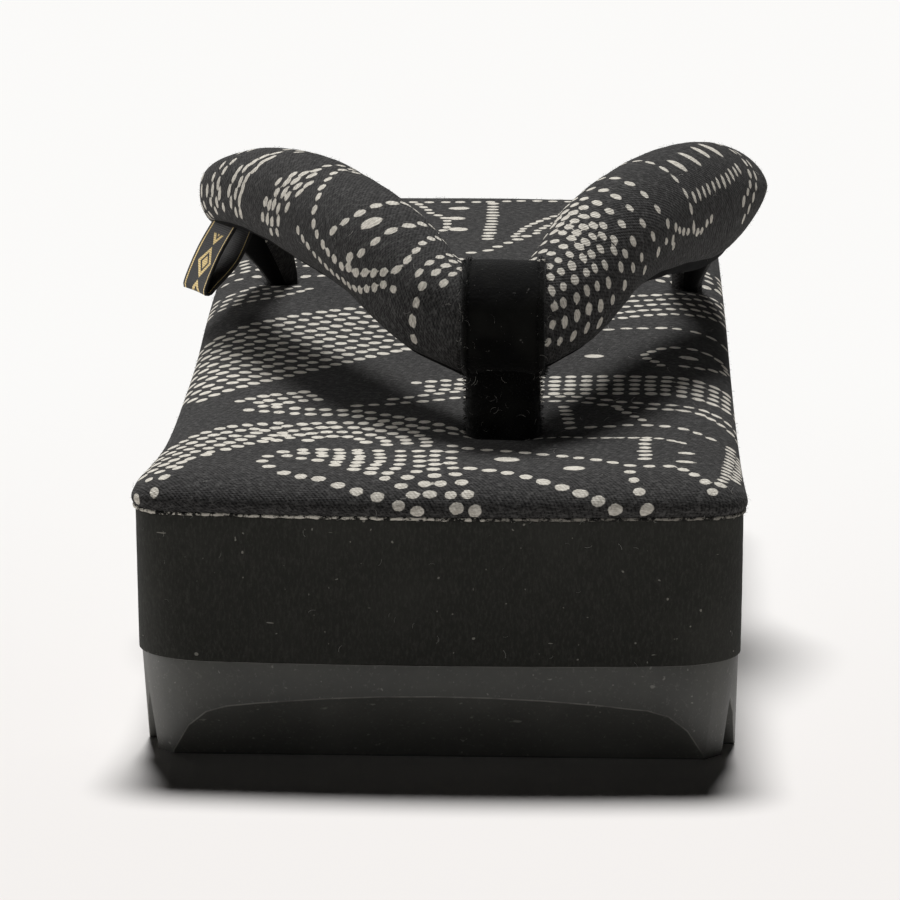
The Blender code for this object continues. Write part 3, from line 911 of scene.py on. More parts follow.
# Print of the medial arm: x round the arm, 0 on top, y along it from the band.
def medialPrint():
    arcs = (
        ([(12, 49), (4, 43), (-3.5, 38.5), (-7, 37), (-10.5, 37.5), (-17, 41.5)], 3.7),
        ([(14, 45), (5, 37.5), (-4, 31.5), (-7, 30.5), (-10, 30.5), (-17.5, 34)], 3.6),
        ([(15, 42), (5, 33), (-3, 27.5), (-9.5, 25), (-13, 25.5), (-17.5, 27.5)], 3.5),
        ([(16, 39), (6, 31), (-2, 25), (-5.5, 22), (-9, 21), (-17, 23)], 3.3),
        ([(17, 36), (7, 29), (-2, 22.5), (-5.5, 20), (-12, 18.5), (-17, 18.5)], 3.1),
        ([(16, 31), (6, 26), (-3.5, 19), (-9.5, 14.5), (-12, 13.5), (-17, 13.8)], 3.0),
        ([(14, 27), (4, 22.5), (-4.5, 15.5), (-10, 10.5), (-17, 9.5)], 3.0),
        ([(12, 23), (2, 18.5), (-5.5, 11.8), (-9, 8), (-17, 5.5)], 3.0),
        ([(10, 18), (1, 14.5), (-5.5, 8), (-9.5, 5), (-16, 2)], 3.0),
        ([(8, 14), (0, 10), (-5, 5), (-9, 2), (-15, -1.5)], 3.0),
        ([(6, 10), (-1, 6), (-5, 2), (-9, -1), (-14, -4)], 3.0),
    )
    g = []
    for path, pitch in arcs:  # shorter grains on the side that faces the toe
        for x, y, turn, half, halfWide in row(path, pitch, 2.3, 1.6):
            g.append((x, y, turn, half * (0.84 if x < -6 else 0.95), halfWide))
    g += row([(16, 66), (6, 58), (0.5, 55.5), (-6, 52.6), (-12.5, 52), (-19, 54)], 3.1, 2.2, 1.5)
    g += ovals([(-5.7, 59.5), (-5.4, 67), (-4.9, 74.5), (-4.8, 81)], 4.8, 2.4)
    g += row([(-12.5, 55.5), (-12.4, 63), (-11.8, 74), (-9.6, 87)], 2.9, 2.6, 1.4, across=True)
    g += row([(-13, 38), (-15.5, 44), (-17, 50), (-18, 57), (-17, 64)], 2.6, 1.9, 1.3)
    g += row([(-16, 37.5), (-18.5, 44)], 2.6, 1.9, 1.3)
    g += band([(4, 88), (-4, 92), (-9, 92.5), (-14, 89), (-18, 83)], 2, 3.0, 2.8, 2.0, 1.5)
    g += band([(16, 78), (10, 74), (8, 84), (12, 96)], 2, 3.0, 2.9)
    g += band([(-18, 104), (-6, 108), (6, 106), (16, 110)], 3, 3.0, 2.9)
    g += row([(-18, 122), (-8, 118), (4, 120), (16, 126)], 3.1)
    return g


# Print of the lateral arm, in the same way.
def lateralPrint():
    loop = [
        (-16, 66), (-6, 59), (0, 56), (5.5, 51), (9.5, 47), (12.5, 45), (14.5, 41), (15.4, 36), (15.5, 31),
        (13.7, 24.5), (11, 19.5), (7.7, 15.5), (4, 16.5), (0, 19), (-6, 23), (-14, 25),
    ]
    g = row(loop, 2.8, 2.2, 1.6)
    g += row([(15, 42), (12.5, 37.5), (9.4, 35), (6.6, 33.8), (3.9, 33.4), (0, 34), (-8, 37), (-16, 42)], 3.2, 2.4, 1.7)
    g += row([(13, 28.5), (11, 26), (7.8, 25), (4.6, 24.8), (0, 25.2), (-8, 29), (-16, 33)], 3.4, 2.4, 1.7)
    g += ovals([(6, 29.3)], 4.4, 2.8, 0.25)
    g += ovals([(-6, 33.0), (-8, 46.0)], 4.0, 2.6, 0.4)
    edge = [(15.5, 51), (17, 47), (18, 43), (18.9, 38), (18.5, 32), (17.2, 25.5), (14.6, 20.8), (12, 17), (11, 14)]
    g += row(edge, 2.6, 1.9, 1.5)
    g += row([(7.7, 8.7), (10.8, 8.4), (17, 8)], 3.0, 2.1, 1.6)
    g += band([(5.5, 8.5), (2, 9), (-3, 11), (-10, 14)], 3, 2.8, 2.7, 2.1, 1.6)
    g += row([(-2, 4), (-8, 6), (-15, 9)], 3.0)
    # three clumps of grains where the arm bends down
    nearClump = (
        (13.7, 68.4), (16.6, 69.8), (16.9, 67.3), (14.2, 66.5), (13.7, 64.1), (14.1, 61.8), (16.6, 64.6), (16.0, 61.3),
        (18.9, 66.4), (18.5, 63.0), (10.0, 65.9), (11.6, 64.4), (11.0, 61.4), (9.2, 62.6), (11.4, 59.2), (12.9, 57.7),
        (7.5, 62.8), (8.2, 60.2), (9.0, 57.6), (6.1, 60.1), (9.7, 55.1), (5.7, 57.3), (7.3, 54.9), (4.2, 58.6),
    )
    middleClump = (
        (13.0, 87.6), (15.1, 86.8), (10.9, 86.0), (13.6, 84.0), (14.6, 81.7), (12.7, 80.4), (9.2, 85.4), (8.9, 82.8),
        (10.8, 79.8), (11.6, 82.3), (9.1, 78.0), (7.3, 81.3), (7.2, 77.8), (5.4, 80.0), (5.6, 76.6), (3.6, 78.2),
        (16.8, 85.0), (17.1, 82.0),
    )
    farClump = (
        (11.5, 99.8), (12.0, 96.3), (11.4, 93.6), (9.7, 97.0), (13.2, 92.5), (13.8, 98.1), (14.3, 94.7), (15.6, 91.5),
        (15.8, 96.8), (9.3, 92.4), (7.6, 95.0), (7.2, 91.0),
    )
    g += ovals(nearClump, 2.4, 1.6, 0.65) + ovals(middleClump, 2.4, 1.6, 0.5) + ovals(farClump, 2.2, 1.5, 0.3)
    g += band([(1.5, 57), (-6, 58), (-12, 62)], 3, 2.7, 2.6, 1.9, 1.4)
    g += band([(1, 77), (-6, 77), (-14, 79)], 3, 2.7, 2.6, 1.9, 1.4)
    g += band([(4, 92), (-4, 91), (-9, 89)], 2, 2.7, 2.6, 1.9, 1.4)
    g += row([(-4, 66), (-8, 71), (-16, 73)], 3.0)
    g += band([(-18, 84), (-12, 90), (-14, 100)], 3, 3.0, 2.9)
    g += band([(-18, 112), (-6, 108), (6, 111), (18, 106)], 4, 3.0, 2.9)
    g += row([(-18, 128), (-6, 124), (6, 127), (18, 122)], 3.1)
    return g


def liningMaterial():
    material, n = newMaterial("blackLining", lining["plain"], lining["roughness"], lining["specular"])
    weave, slub = n.weave(n.flat("cloth"), lining["ribs"])
    colour = n.mix(n.step(slub, 0.45, 0.75), lining["dark"], lining["worn"])
    n.surface(baseColor=colour, normal=n.bump(weave, lining["bump"], lining["bumpDepth"]))
    return material


liningCloth = liningMaterial()
medialArm = finishPiece(makeArm("strapMedialArm", 1, medialPrint(), 5), "strap_cloth", "upper")
lateralArm = finishPiece(makeArm("strapLateralArm", -1, lateralPrint(), 8), "strap_cloth", "upper")


# Toe post and band: black velvet
pile = {
    "plain": (0.0045, 0.0045, 0.0042),
    "dark": (0.0040, 0.0040, 0.0038),
    "brushed": (0.010, 0.010, 0.009),
    "lint": (0.30, 0.29, 0.27),
    "lintAmount": 0.22,
    "roughness": 0.95,
    "specular": 0.05,
    "sheen": 0.10,
    "sheenRoughness": 0.35,
    "bump": 0.8,
    "bumpDepth": 0.25 * mm,
}


def velvetMaterial():
    material, n = newMaterial("blackVelvet", pile["plain"], pile["roughness"], pile["specular"])
    n.surface(sheenWeight=pile["sheen"], sheenRoughness=pile["sheenRoughness"])
    place = n.place()
    brushed = n.step(n.noise(place, 160.0), 0.4, 0.7)
    lint = n.times(n.step(n.noise(place, 900.0, 2.0, 0.6), 0.70, 0.76), pile["lintAmount"])
    colour = n.layers(pile["dark"], (brushed, pile["brushed"]), (lint, pile["lint"]))
    height = n.noise(place, 1400.0, 3.0, 0.7)
    n.surface(baseColor=colour, normal=n.bump(height, pile["bump"], pile["bumpDepth"]))
    return material


velvet = velvetMaterial()


# Middle of the band, and half its height and length.
def postPlace():
    apex = lateralRows[0]
    halfHeight = strap["thickness"] * apex["thickness"] / 2 + post["bandWall"]
    halfLength = strap["width"] * apex["width"] / 2 + post["bandLap"]
    middle = padTop(strap["apexBack"]) + sum(strap["crest"]) / 2 * apex["rise"] + post["bandWall"]
    return middle, halfHeight, halfLength


def makeBand():
    middle, halfHeight, halfLength = postPlace()
    sides, halfWidth, edge = post["bandSides"], post["bandWidth"] / 2, post["bandEdge"]
    stations = []
    edgeSteps, steps = post["bandEdgeSteps"], post["bandSteps"]
    for k in range(edgeSteps + 1):
        turn = pi / 2 * k / edgeSteps
        stations.append((-halfWidth + edge * (1 - sin(turn)), edge * (1 - cos(turn))))
    for k in range(1, steps):
        stations.append((-halfWidth + edge + (2 * halfWidth - 2 * edge) * k / steps, 0.0))
    stations += [(-x, inset) for x, inset in stations[edgeSteps::-1]]
    points = []
    lean = Matrix.Rotation(post["bandLean"], 3, "X")
    ahead = strap["apexBack"] - sole["length"] / 2
    for x, inset in stations:
        sag = post["bandSag"] * (x / halfWidth) ** 2
        for k in range(sides):
            turn = 2 * pi * k / sides
            z = (halfHeight - inset) * sin(turn)
            y = (halfLength - inset - 2 * sag * (cos(turn) < 0)) * cos(turn)
            spot = lean @ Vector((0, y, z))
            rough = noise.noise(Vector((x, y, z)) / post["lump"]) * post["bandRough"]
            points.append((strap["offset"] + sole["shift"] + x, ahead + spot.y + rough, middle + spot.z + rough))
    return meshPiece("velvetBand", points, tubeFaces(len(stations), sides, False), velvet)


def makePost():
    middle, halfHeight, _ = postPlace()
    back = strap["apexBack"] - post["ahead"]
    bottom, top = seatHeight(back) + sole["gap"] + post["foot"], middle - halfHeight / 2
    sides, rows = post["sides"], post["rows"]
    broad, fine = post["lumpSizes"]
    points = []
    for i in range(rows):
        share = i / (rows - 1)
        swell = post["waist"] + (1 - post["waist"]) * sin(pi * share)
        z = bottom + (top - bottom) * share
        for k in range(sides):
            u, v = sectionPoint(2 * pi * k / sides, post["square"])
            x, y = u * post["width"] / 2 * swell, v * post["depth"] / 2 * swell
            spot = Vector((x, y, z))
            rough = 1 + broad * noise.noise(spot / post["lump"]) + fine * noise.noise(spot / post["smallLump"])
            points.append((strap["offset"] + sole["shift"] + x * rough, back - sole["length"] / 2 + y * rough, z))
    return meshPiece("velvetPost", points, tubeFaces(rows, sides, False), velvet)


velvetBand = finishPiece(makeBand(), "velvet", "toe_post")
velvetPost = finishPiece(makePost(), "velvet", "toe_post")
print("toe post and band are ready")

# Midsole: dense foam, cut with a wire, so its sides carry fine upright lines
foam = {
    "colour": (0.022, 0.0222, 0.0190),
    "pale": (0.046, 0.0455, 0.040),
    "speck": (0.26, 0.25, 0.22),
    "roughness": 0.92,
    "specular": 0.25,
    "bump": 0.5,
    "bumpDepth": 0.15 * mm,
    "edge": 0.42 * mm,
    "lowEdge": 0.2 * mm,
    "edgeSteps": 4,
    "bottomGap": 0.05 * mm,
    "across": 110,
    "lengthwise": 240,
    "rows": 16,
}


def foamMaterial():
    material, n = newMaterial("closedCellFoam", foam["colour"], foam["roughness"], foam["specular"])
    place = n.place()
    cut = n.streaks(place, (2300.0, 2300.0, 900.0), 0.0, 3.0, 0.75)
    cells = n.noise(place, 1900.0, 2.0, 0.8)
    specks = n.step(n.noise(place, 900.0, 1.0), 0.755, 0.79)
    hairs = n.step(n.streaks(place, (300.0, 300.0, 1400.0), 0.0, 1.0), 0.79, 0.81)
    colour = n.layers(
        foam["colour"],
        (n.step(cut, 0.40, 0.80), foam["pale"]),
        (n.step(cells, 0.62, 0.78, 0.0, 0.8), foam["pale"]),
        (n.step(n.noise(place, 55.0, 3.0), 0.45, 0.75, 0.0, 0.35), foam["pale"]),
        (n.times(n.math("MAXIMUM", specks, hairs), 0.8), foam["speck"]),
    )
    height = n.plus(cut, n.times(cells, 0.8))
    n.surface(baseColor=colour, normal=n.bump(height, foam["bump"], foam["bumpDepth"]))
    return material


def makeMidsole():
    bottom = sole["outsoleThickness"] + foam["bottomGap"]
    levels = []
    turns = [pi / 2 * k / foam["edgeSteps"] for k in range(foam["edgeSteps"] + 1)]
    for turn in turns:
        levels.append((-foam["lowEdge"] * (1 - sin(turn)), foam["lowEdge"] * (1 - cos(turn)), 0.0))
    for k in range(1, foam["rows"]):
        levels.append((0.0, 0.0, k / foam["rows"]))
    for turn in turns:
        levels.append((-foam["edge"] * (1 - cos(turn)), -foam["edge"] * (1 - sin(turn)), 1.0))
    points = []
    for grow, lift, share in levels:
        corner = sole["jointCorner"] + (sole["clothCorner"] - sole["jointCorner"]) * share
        ring = soleRing(grow, corner, foam["across"], foam["lengthwise"])
        top = np.array([seatHeight(back) for back in ring[:, 1]])
        points.append(toFrame(ring[:, 0], ring[:, 1], bottom + (top - bottom) * share + lift))
    faces = tubeFaces(len(levels), len(points[0]))
    piece = meshPiece("foamMidsole", np.concatenate(points), faces, foamMaterial())
    for face in list(piece.data.polygons)[-2:]:
        face.use_smooth = False
    return piece


midsole = finishPiece(makeMidsole(), "foam", "midsole")
print("midsole is ready")

# Outsole: the CAD shape with its edges broken, which the light catches
rubber = {
    "colour": (0.096, 0.096, 0.087),
    "pale": (0.150, 0.148, 0.136),
    "dark": (0.070, 0.070, 0.064),
    "scuffAndEdgeHighlight": (0.36, 0.35, 0.32),
    "roughness": (0.46, 0.62),
    "plainRoughness": 0.55,
    "specular": 0.5,
    "bump": 0.35,
    "bumpDepth": 0.12 * mm,
    "edgeWidth": 0.35 * mm,
    "edgeAngle": radians(28),
    "sharpAngle": radians(32),
    "merge": 0.005 * mm,
    "flatAngle": radians(1.0),
}


def rubberMaterial(name, worn):
    material, n = newMaterial(name, rubber["colour"], rubber["plainRoughness"], rubber["specular"])
    place = n.place()
    cloud = n.noise(place, 70.0, 4.0, 0.6)
    grit = n.noise(place, 1500.0, 2.0, 0.7)
    scuffs = n.step(n.streaks(place, (420.0, 420.0, 900.0), 0.4, 2.0), 0.70, 0.78)
    patches = n.step(n.noise(place, 40.0, 1.0), 0.50, 0.62)
    amount = n.times(scuffs, n.math("MULTIPLY_ADD", patches, 0.35, 0.5))
    # on the broken edges the colour is paler: partly wear, partly painted highlight where the edges catch the light
    if worn:
        wearAndHighlight = n.step(n.noise(place, 260.0, 3.0), 0.35, 0.6, 0.25, 0.85)
        amount = n.math("MAXIMUM", amount, n.times(wearAndHighlight, 0.5))
    colour = n.layers(
        rubber["dark"],
        (n.step(cloud, 0.35, 0.7), rubber["colour"]),
        (n.step(grit, 0.55, 0.8, 0.0, 0.8), rubber["pale"]),
        (n.step(n.noise(place, 1100.0, 1.0), 0.74, 0.79, 0.0, 0.45), rubber["scuffAndEdgeHighlight"]),
        (amount, rubber["scuffAndEdgeHighlight"]),
    )
    height = n.plus(grit, n.times(cloud, 0.6))
    n.surface(
        baseColor=colour,
        roughness=n.step(cloud, 0.3, 0.7, *rubber["roughness"]),
        normal=n.bump(height, rubber["bump"], rubber["bumpDepth"]),
    )
    return material


def makeOutsole():
    shape = bmesh.new()
    shape.from_mesh(frame["nodes"]["outsole"].data)
    bmesh.ops.remove_doubles(shape, verts=shape.verts, dist=rubber["merge"])
    bmesh.ops.dissolve_limit(shape, angle_limit=rubber["flatAngle"], verts=shape.verts, edges=shape.edges)
    mesh = bpy.data.meshes.new("rubberOutsole")
    shape.to_mesh(mesh)
    shape.free()
    mesh.materials.clear()
    # the second material goes on the broken edges: partly wear, partly painted highlight
    for name, worn in (("ribbedRubber", False), ("wornEdgeAndHighlight", True)):
        mesh.materials.append(rubberMaterial(name, worn))
    for face in mesh.polygons:
        face.material_index = 0
    mesh.shade_smooth()
    piece = addObject("rubberOutsole", mesh)
    edge = piece.modifiers.new("edges", "BEVEL")
    edge.width = rubber["edgeWidth"]
    edge.segments = 2
    edge.limit_method = "ANGLE"
    edge.angle_limit = rubber["edgeAngle"]
    edge.material = 1
    edge.harden_normals = True
    applyModifiers(piece).set_sharp_from_angle(angle=rubber["sharpAngle"])
    return piece


finishPiece(makeOutsole(), "rubber", "outsole")
print("outsole is ready")

# Fray: the cloth's pale cut edge, caught between footbed and foam
fray = {
    "grow": 0.30 * mm,
    "lift": 0.12 * mm,
    "halfHeight": 0.27 * mm,
    "halfDepth": 0.20 * mm,
    "wander": 0.14 * mm,
    "wanderGrain": 1.2 * mm,
    "swell": 0.55,
    "swellGrain": 0.8 * mm,
    "across": 190,
    "lengthwise": 480,
    "sides": 8,
    "pale": (0.62, 0.59, 0.52),
    "dull": (0.080, 0.075, 0.066),
    "dark": (0.014, 0.014, 0.013),
    "roughness": 0.95,
    "specular": 0.1,
    "bump": 0.8,
    "bumpDepth": 0.2 * mm,
    "medialShade": (6 * mm, 8 * mm, 0.95, 0.30),  # painted shade: towards the medial side, away from the light, the pale edge is painted dimmer
}


def frayMaterial():
    material, n = newMaterial("frayedEdge", fray["dull"], fray["roughness"], fray["specular"])
    place = n.place()
    fine = n.noise(place, 900.0, 3.0, 0.7)
    amount = n.times(n.step(fine, 0.43, 0.56), n.step(n.noise(place, 75.0), 0.22, 0.44))
    # painted shade: the pale edge dims towards the medial side
    amount = n.times(amount, n.step(n.split(place)[0], *fray["medialShade"]))
    colour = n.layers(fray["dark"], (n.step(fine, 0.40, 0.62), fray["dull"]), (amount, fray["pale"]))
    n.surface(baseColor=colour, normal=n.bump(fine, fray["bump"], fray["bumpDepth"]))
    return material


def makeFray():
    middle, outer = (
        soleRing(fray["grow"] + out, sole["clothCorner"], fray["across"], fray["lengthwise"]) for out in (0, 1 * mm)
    )
    count, sides, slow, quick = len(middle), fray["sides"], fray["wanderGrain"], fray["swellGrain"]
    points, faces = [], []
    for r, ((x, back), (ox, oBack)) in enumerate(zip(middle, outer)):
        out = Vector((ox - x, oBack - back)).normalized()
        z = seatHeight(back) + fray["lift"]
        wander = noise.noise((x / slow, back / slow, 0.5)) * fray["wander"]
        swell = 1 + fray["swell"] * noise.noise((x / quick, back / quick, 4.2))
        for k in range(sides):
            turn = 2 * pi * k / sides
            depth = fray["halfDepth"] * swell * cos(turn) + wander * 0.5
            rise = wander + fray["halfHeight"] * swell * sin(turn)
            points.append(toFrame(x + out.x * depth, back + out.y * depth, z + rise))
        a, b = r * sides, (r + 1) % count * sides
        faces += [(a + k, b + k, b + (k + 1) % sides, a + (k + 1) % sides) for k in range(sides)]
    return meshPiece("frayedSeam", points, faces, frayMaterial())


frayedSeam = finishPiece(makeFray(), "cloth")
print("frayed seam is ready")

# Fibres: nap, fuzz and lint spread over a copy of a surface by Geometry Nodes
fibreInputs = "density length bend radius leanLow leanHigh leastUp steps seed".split()
velvetPieces, clothPieces = (velvetBand, velvetPost), (footbed, medialArm, lateralArm)
fibreRows = {
    "velvetNap": (3.5e6, 0.55 * mm, 0.12 * mm, 0.042 * mm, 0.1, 0.8, -2.0, 1, 3),
    "velvetLint": (1.5e5, 1.3 * mm, 0.5 * mm, 0.022 * mm, 1.1, 1.5, -2.0, 5, 14),
    "clothLint": (1.1e4, 1.2 * mm, 0.35 * mm, 0.020 * mm, 1.2, 1.52, -0.3, 5, 25),
    "clothFuzz": (2.45e5, 0.45 * mm, 0.1 * mm, 0.014 * mm, 0.5, 1.4, -0.6, 1, 36),
    "foamLint": (9e3, 1.0 * mm, 0.3 * mm, 0.018 * mm, 1.3, 1.54, -2.0, 5, 47),
    "frayHairs": (1.1e6, 0.5 * mm, 0.15 * mm, 0.020 * mm, 0.6, 1.45, -2.0, 1, 58),
}
fibreSizes = (0.5, 1.35)


def fibreTree():
    tree = bpy.data.node_groups.new("looseFibres", "GeometryNodeTree")
    tree.interface.new_socket("Geometry", in_out="INPUT", socket_type="NodeSocketGeometry")
    for word in fibreInputs:
        kind = "NodeSocketInt" if word in ("steps", "seed") else "NodeSocketFloat"
        tree.interface.new_socket(socketName(word), in_out="INPUT", socket_type=kind)
    tree.interface.new_socket("Material", in_out="INPUT", socket_type="NodeSocketMaterial")
    tree.interface.new_socket("Geometry", in_out="OUTPUT", socket_type="NodeSocketGeometry")
    n = Nodes(tree)
    into, out = n.add("NodeGroupInput").outputs, n.add("NodeGroupOutput").inputs

    def randomValue(low, high, shift):
        node = n.add("FunctionNodeRandomValue", seed=n.plus(into["Seed"], shift))
        node.data_type = "FLOAT"
        n.put(node.inputs[2], low)
        n.put(node.inputs[3], high)
        return node.outputs[1]

    def spot(x, z):
        return n.add("ShaderNodeCombineXYZ", x=x, z=z).outputs[0]

    upward = n.split(n.add("GeometryNodeInputNormal").outputs[0])[2]
    chosen = n.math("GREATER_THAN", upward, into["Least Up"])
    scatter = n.add(
        "GeometryNodeDistributePointsOnFaces",
        mesh=into["Geometry"], selection=chosen, density=into["Density"], seed=into["Seed"],
    ).outputs
    path = n.add(
        "GeometryNodeCurveQuadraticBezier",
        resolution=into["Steps"],
        start=(0.0, 0.0, 0.0),
        middle=spot(into["Bend"], n.times(into["Length"], 0.5)),
        end=spot(0.0, into["Length"]),
    )
    profile = n.add("GeometryNodeCurvePrimitiveCircle", resolution=3, radius=into["Radius"])
    hair = n.add("GeometryNodeCurveToMesh", curve=path.outputs[0], profileCurve=profile.outputs[0], fillCaps=True)
    lean = spot(randomValue(into["Lean Low"], into["Lean High"], 11), randomValue(0.0, 2 * pi, 23))
    leanTurn = n.add("FunctionNodeEulerToRotation", euler=lean).outputs[0]
    turn = n.add("FunctionNodeRotateRotation", rotation=scatter["Rotation"], rotateBy=leanTurn)
    turn.rotation_space = "LOCAL"
    spread = n.add(
        "GeometryNodeInstanceOnPoints",
        points=scatter["Points"], instance=hair.outputs[0], rotation=turn.outputs[0],
        scale=randomValue(*fibreSizes, 37),
    )
    real = n.add("GeometryNodeRealizeInstances", geometry=spread.outputs[0])
    done = n.add("GeometryNodeSetMaterial", geometry=real.outputs[0], material=into["Material"])
    tree.links.new(done.outputs[0], out[0])
    return tree


looseFibres = fibreTree()


def fibreMaterial(name, colour, spread):
    material, n = newMaterial(name, colour, 0.8, 0.15)
    tone = n.step(n.noise(n.place(), 260.0), 0.35, 0.65)
    n.surface(baseColor=n.mix(tone, tuple(c * spread for c in colour), colour))
    return material


def addFibres(name, sources, slot, material):
    joined = bmesh.new()
    for source in sources:
        joined.from_mesh(source.data)
    mesh = bpy.data.meshes.new(name)
    joined.to_mesh(mesh)
    joined.free()
    piece = addObject(name, mesh)
    grow = piece.modifiers.new("fibres", "NODES")
    grow.node_group = looseFibres
    settings = {socketName(word): value for word, value in zip(fibreInputs, fibreRows[name])}
    settings["Material"] = material
    for socket in looseFibres.interface.items_tree:
        if socket.in_out == "INPUT" and socket.name in settings:
            grow[socket.identifier] = settings[socket.name]
    print(name, len(applyModifiers(piece).polygons), "faces")
    finishPiece(piece, slot)


blackFibre = fibreMaterial("blackFibre", (0.022, 0.022, 0.021), 0.4)
paleFibre = fibreMaterial("paleFibre", (0.42, 0.41, 0.38), 0.5)
greyFibre = fibreMaterial("greyFibre", (0.13, 0.127, 0.12), 0.3)
addFibres("velvetNap", velvetPieces, "velvet", blackFibre)
addFibres("velvetLint", velvetPieces, "velvet", paleFibre)
addFibres("clothLint", clothPieces, "cloth", paleFibre)
addFibres("clothFuzz", clothPieces, "cloth", greyFibre)
addFibres("foamLint", [midsole], "foam", paleFibre)
addFibres("frayHairs", [frayedSeam], "cloth", paleFibre)

# Label tab: a folded satin ribbon with a gold line near its edges and plain lozenges
tab = {
    "toHole": 34 * mm,
    "width": 11.6 * mm,
    "drop": 10.8 * mm,
    "flare": 6.8 * mm,
    "opening": 3.2 * mm,
    "turn": radians(24),
    "tuck": 2.0 * mm,
    "bow": 0.6 * mm,
    "fold": 1.0 * mm,
    "cup": 0.35 * mm,
    "out": 0.05,
    "down": 0.30,
    "wall": 0.45 * mm,
    "rows": 60,
    "columns": 24,
    "armSteps": 24,  # stations of the arm among which the tab's place is looked for
    "satin": (0.010, 0.009, 0.009),
    "gold": (0.95, 0.76, 0.38),
    "goldDark": (0.62, 0.44, 0.16),
    "metal": 0.15,
    "roughness": 0.6,
    "specular": 0.25,
    "bump": 0.5,
    "bumpDepth": 0.15 * mm,
}


def ribbonMaterial():
    material, n = newMaterial("satinRibbon", tab["satin"], tab["roughness"], tab["specular"])
    flat = n.flat("ribbon")
    along, across, _ = n.split(flat)

    # 1 between 'low' and 'high', with soft ends
    def stripe(value, low, high, soft):
        return n.times(n.step(value, low, low + soft), n.step(value, high, high - soft))

    side = n.math("ABSOLUTE", n.math("SUBTRACT", across, 0.5))
    cell = n.math("ABSOLUTE", n.math("SUBTRACT", n.math("FRACT", n.times(along, 5.0)), 0.5))
    lozenge = n.plus(n.times(side, 3.1), n.times(cell, 1.9))
    heart = n.step(lozenge, 0.40, 0.36)
    motif = n.times(n.math("MAXIMUM", stripe(lozenge, 0.56, 0.92, 0.04), heart), stripe(along, 0.12, 0.47, 0.01))
    gold = n.math("MAXIMUM", stripe(side, 0.400, 0.452, 0.012), motif)
    thread = n.add("ShaderNodeTexWave", vector=flat, scale=26.0, distortion=1.5).outputs["Fac"]
    height = n.plus(n.times(thread, 0.4), gold)
    n.surface(
        baseColor=n.mix(gold, tab["satin"], n.mix(thread, tab["goldDark"], tab["gold"])),
        metallic=n.times(gold, tab["metal"]),
        normal=n.bump(height, tab["bump"], tab["bumpDepth"]),
    )
    return material


def makeTab():
    yTab = strap["holeBack"] - tab["toHole"] - sole["length"] / 2
    stations = strapStations(-1, tab["armSteps"])[:tab["armSteps"] + 1]
    near = min((s[0] for s in stations), key=lambda c: abs(c.y - yTab))
    top = Vector((near.x - strap["width"] * tab["out"], 0, near.z - strap["thickness"] * tab["down"] + tab["tuck"]))
    fold = top + Vector((-tab["flare"], 0, -tab["tuck"] - tab["drop"]))
    middle = (top + fold) / 2
    route = [
        top,
        middle - Vector((tab["bow"], 0, 0)),
        fold,
        fold + Vector((tab["fold"], 0, -tab["fold"] / 2)),
        fold + Vector((2 * tab["fold"], 0, tab["fold"] / 2)),
        middle + Vector((tab["opening"], 0, -tab["fold"])),
        top + Vector((tab["opening"], 0, 0)),
    ]
    path = resample(smoothPath([(p.x, p.z) for p in route], 0.3 * mm), tab["rows"])
    turn = Matrix.Rotation(tab["turn"], 3, "Z")
    columns = tab["columns"]
    points, flat = [], []
    for i, (x, z) in enumerate(path):
        for k in range(columns + 1):
            share = k / columns
            cup = tab["cup"] * (2 * share - 1) ** 2
            local = turn @ Vector((x - top.x - cup, (share - 0.5) * tab["width"], 0))
            points.append((top.x + local.x, yTab + local.y, z))
            flat.append((i / (len(path) - 1), share))
    faces = ringFaces(len(path), columns + 1, closed=False)
    piece = meshPiece("foldedTab", points, faces, ribbonMaterial(), closed=False)
    setFlatMap(piece.data, "ribbon", flat)
    wall = piece.modifiers.new("wall", "SOLIDIFY")
    wall.thickness = tab["wall"]
    wall.offset = 0.0
    applyModifiers(piece)
    return piece


finishPiece(makeTab(), "ribbon", "label_tab")
print("label tab is ready")

# The three soft area lights light these only, which leaves the floor's shadow dark
shoeOnly = bpy.data.collections.new("shoeOnly")
for piece in bpy.context.scene.collection.objects:
    if piece.type == "MESH":
        shoeOnly.objects.link(piece)

# Floor, light and camera
studio = {
    "floorNear": (0.87, 0.842, 0.822),
    # painted light: the floor is whiter towards the back
    "floorFarPaintedLight": (0.93, 0.922, 0.908),
    "floorHalf": 4,
    "sky": (1.0, 0.99, 0.985),
    "skyStrength": 0.006,
    "keyEnergy": 3.75,
    "keyAngle": radians(17),
    "keyDirection": (0.02, -0.52, -0.85),
}
# Place, aim, size, energy and colour of each soft light
softLights = {
    "leftSoft": ((-1.1, 0.55, 0.45), (0, 0, 0.03), 0.9, 8.0, (1.0, 0.985, 0.97)),
    "frontFill": ((0.0, -1.6, 0.9), (0, 0, 0.03), 0.8, 2.8, (1, 1, 1)),
    "topSoft": ((0.0, -0.15, 1.2), (0, 0, 0.05), 0.9, 0.8, (1, 1, 1)),
}
view = {
    "place": (50.8 * mm, -1074.06 * mm, 245.18 * mm),  # from the toe's middle on the ground
    "aim": (-0.1 * mm, 62.0 * mm, 42.0 * mm),
    "turn": radians(-0.5),
    "roll": radians(0.22),
    "lens": 268.0,
    "sensor": 36.0,
    "clip": (0.01, 20.0),
}


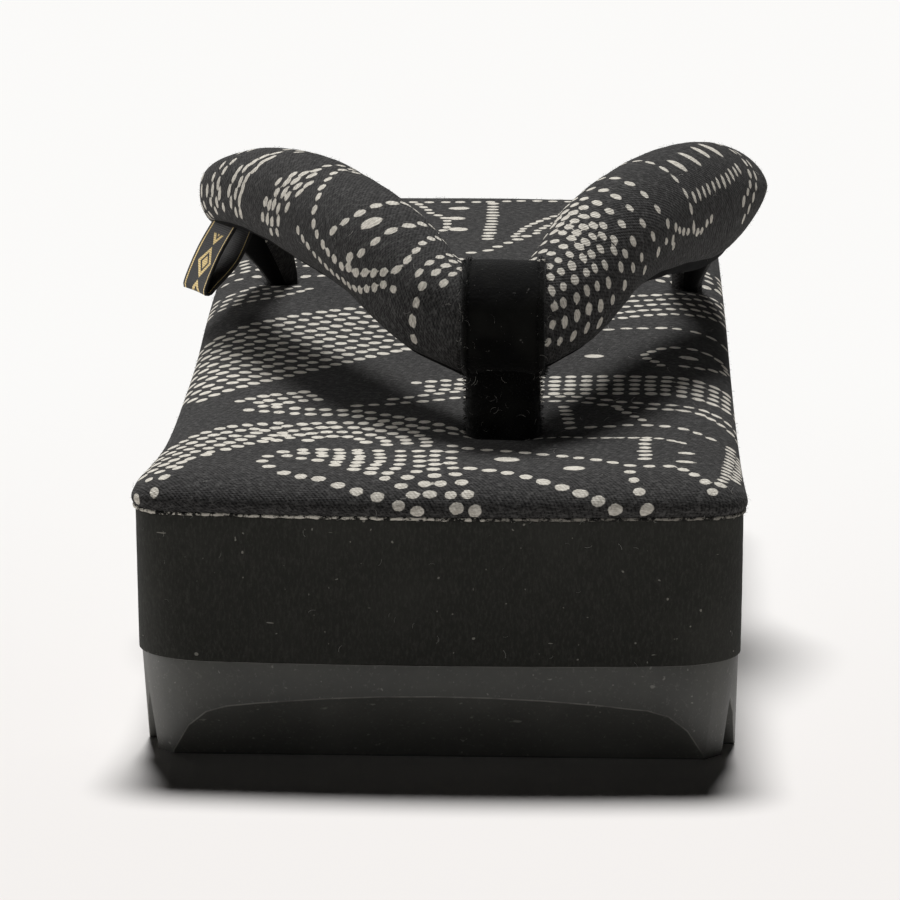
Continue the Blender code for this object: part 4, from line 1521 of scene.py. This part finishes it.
def makeFloor():
    material, n = newMaterial("paleFloor", studio["floorNear"], 0.8, 0.5)
    # painted light: the floor is painted whiter towards the back
    paintedLightToBack = n.step(n.split(n.place())[1], -0.22, 0.30)
    n.surface(baseColor=n.mix(paintedLightToBack, studio["floorNear"], studio["floorFarPaintedLight"]))
    far = studio["floorHalf"]
    points = [(-far, -far, 0), (far, -far, 0), (far, far, 0), (-far, far, 0)]
    meshPiece("floor", points, [(0, 1, 2, 3)], material, smooth=False, closed=False)


def aimAlong(item, direction):
    item.rotation_mode = "QUATERNION"
    item.rotation_quaternion = Vector(direction).to_track_quat("-Z", "Y")


def areaLight(name, place, aim, size, energy, colour):
    light = bpy.data.lights.new(name, "AREA")
    light.shape = "SQUARE"
    light.size = size
    light.energy = energy
    light.color = colour
    lamp = addObject(name, light)
    lamp.location = place
    aimAlong(lamp, Vector(aim) - Vector(place))
    lamp.light_linking.receiver_collection = shoeOnly


def makeCamera():
    data = bpy.data.cameras.new("photoCamera")
    data.sensor_width = view["sensor"]
    data.lens = view["lens"]
    data.clip_start, data.clip_end = view["clip"]
    camera = addObject("photoCamera", data)
    origin = Vector((sole["shift"], -sole["length"] / 2, 0))
    camera.location = Matrix.Rotation(view["turn"], 3, "Z") @ Vector(view["place"]) + origin
    aimAlong(camera, Vector(view["aim"]) + origin - camera.location)
    camera.rotation_quaternion = camera.rotation_quaternion @ Quaternion((0, 0, 1), view["roll"])
    bpy.context.scene.camera = camera


def makeLight():
    world = bpy.data.worlds.new("studio")
    world.use_nodes = True
    sky = world.node_tree.nodes["Background"]
    sky.inputs["Color"].default_value = (*studio["sky"], 1)
    sky.inputs["Strength"].default_value = studio["skyStrength"]
    bpy.context.scene.world = world
    key = bpy.data.lights.new("overheadKey", "SUN")  # a wide soft light above and behind the shoe
    key.energy = studio["keyEnergy"]
    key.angle = studio["keyAngle"]
    aimAlong(addObject("overheadKey", key), studio["keyDirection"])
    for name, settings in softLights.items():
        areaLight(name, *settings)


makeFloor()
makeCamera()
makeLight()
bpy.context.scene.view_settings.view_transform = "Standard"
print("floor, light and camera are ready")
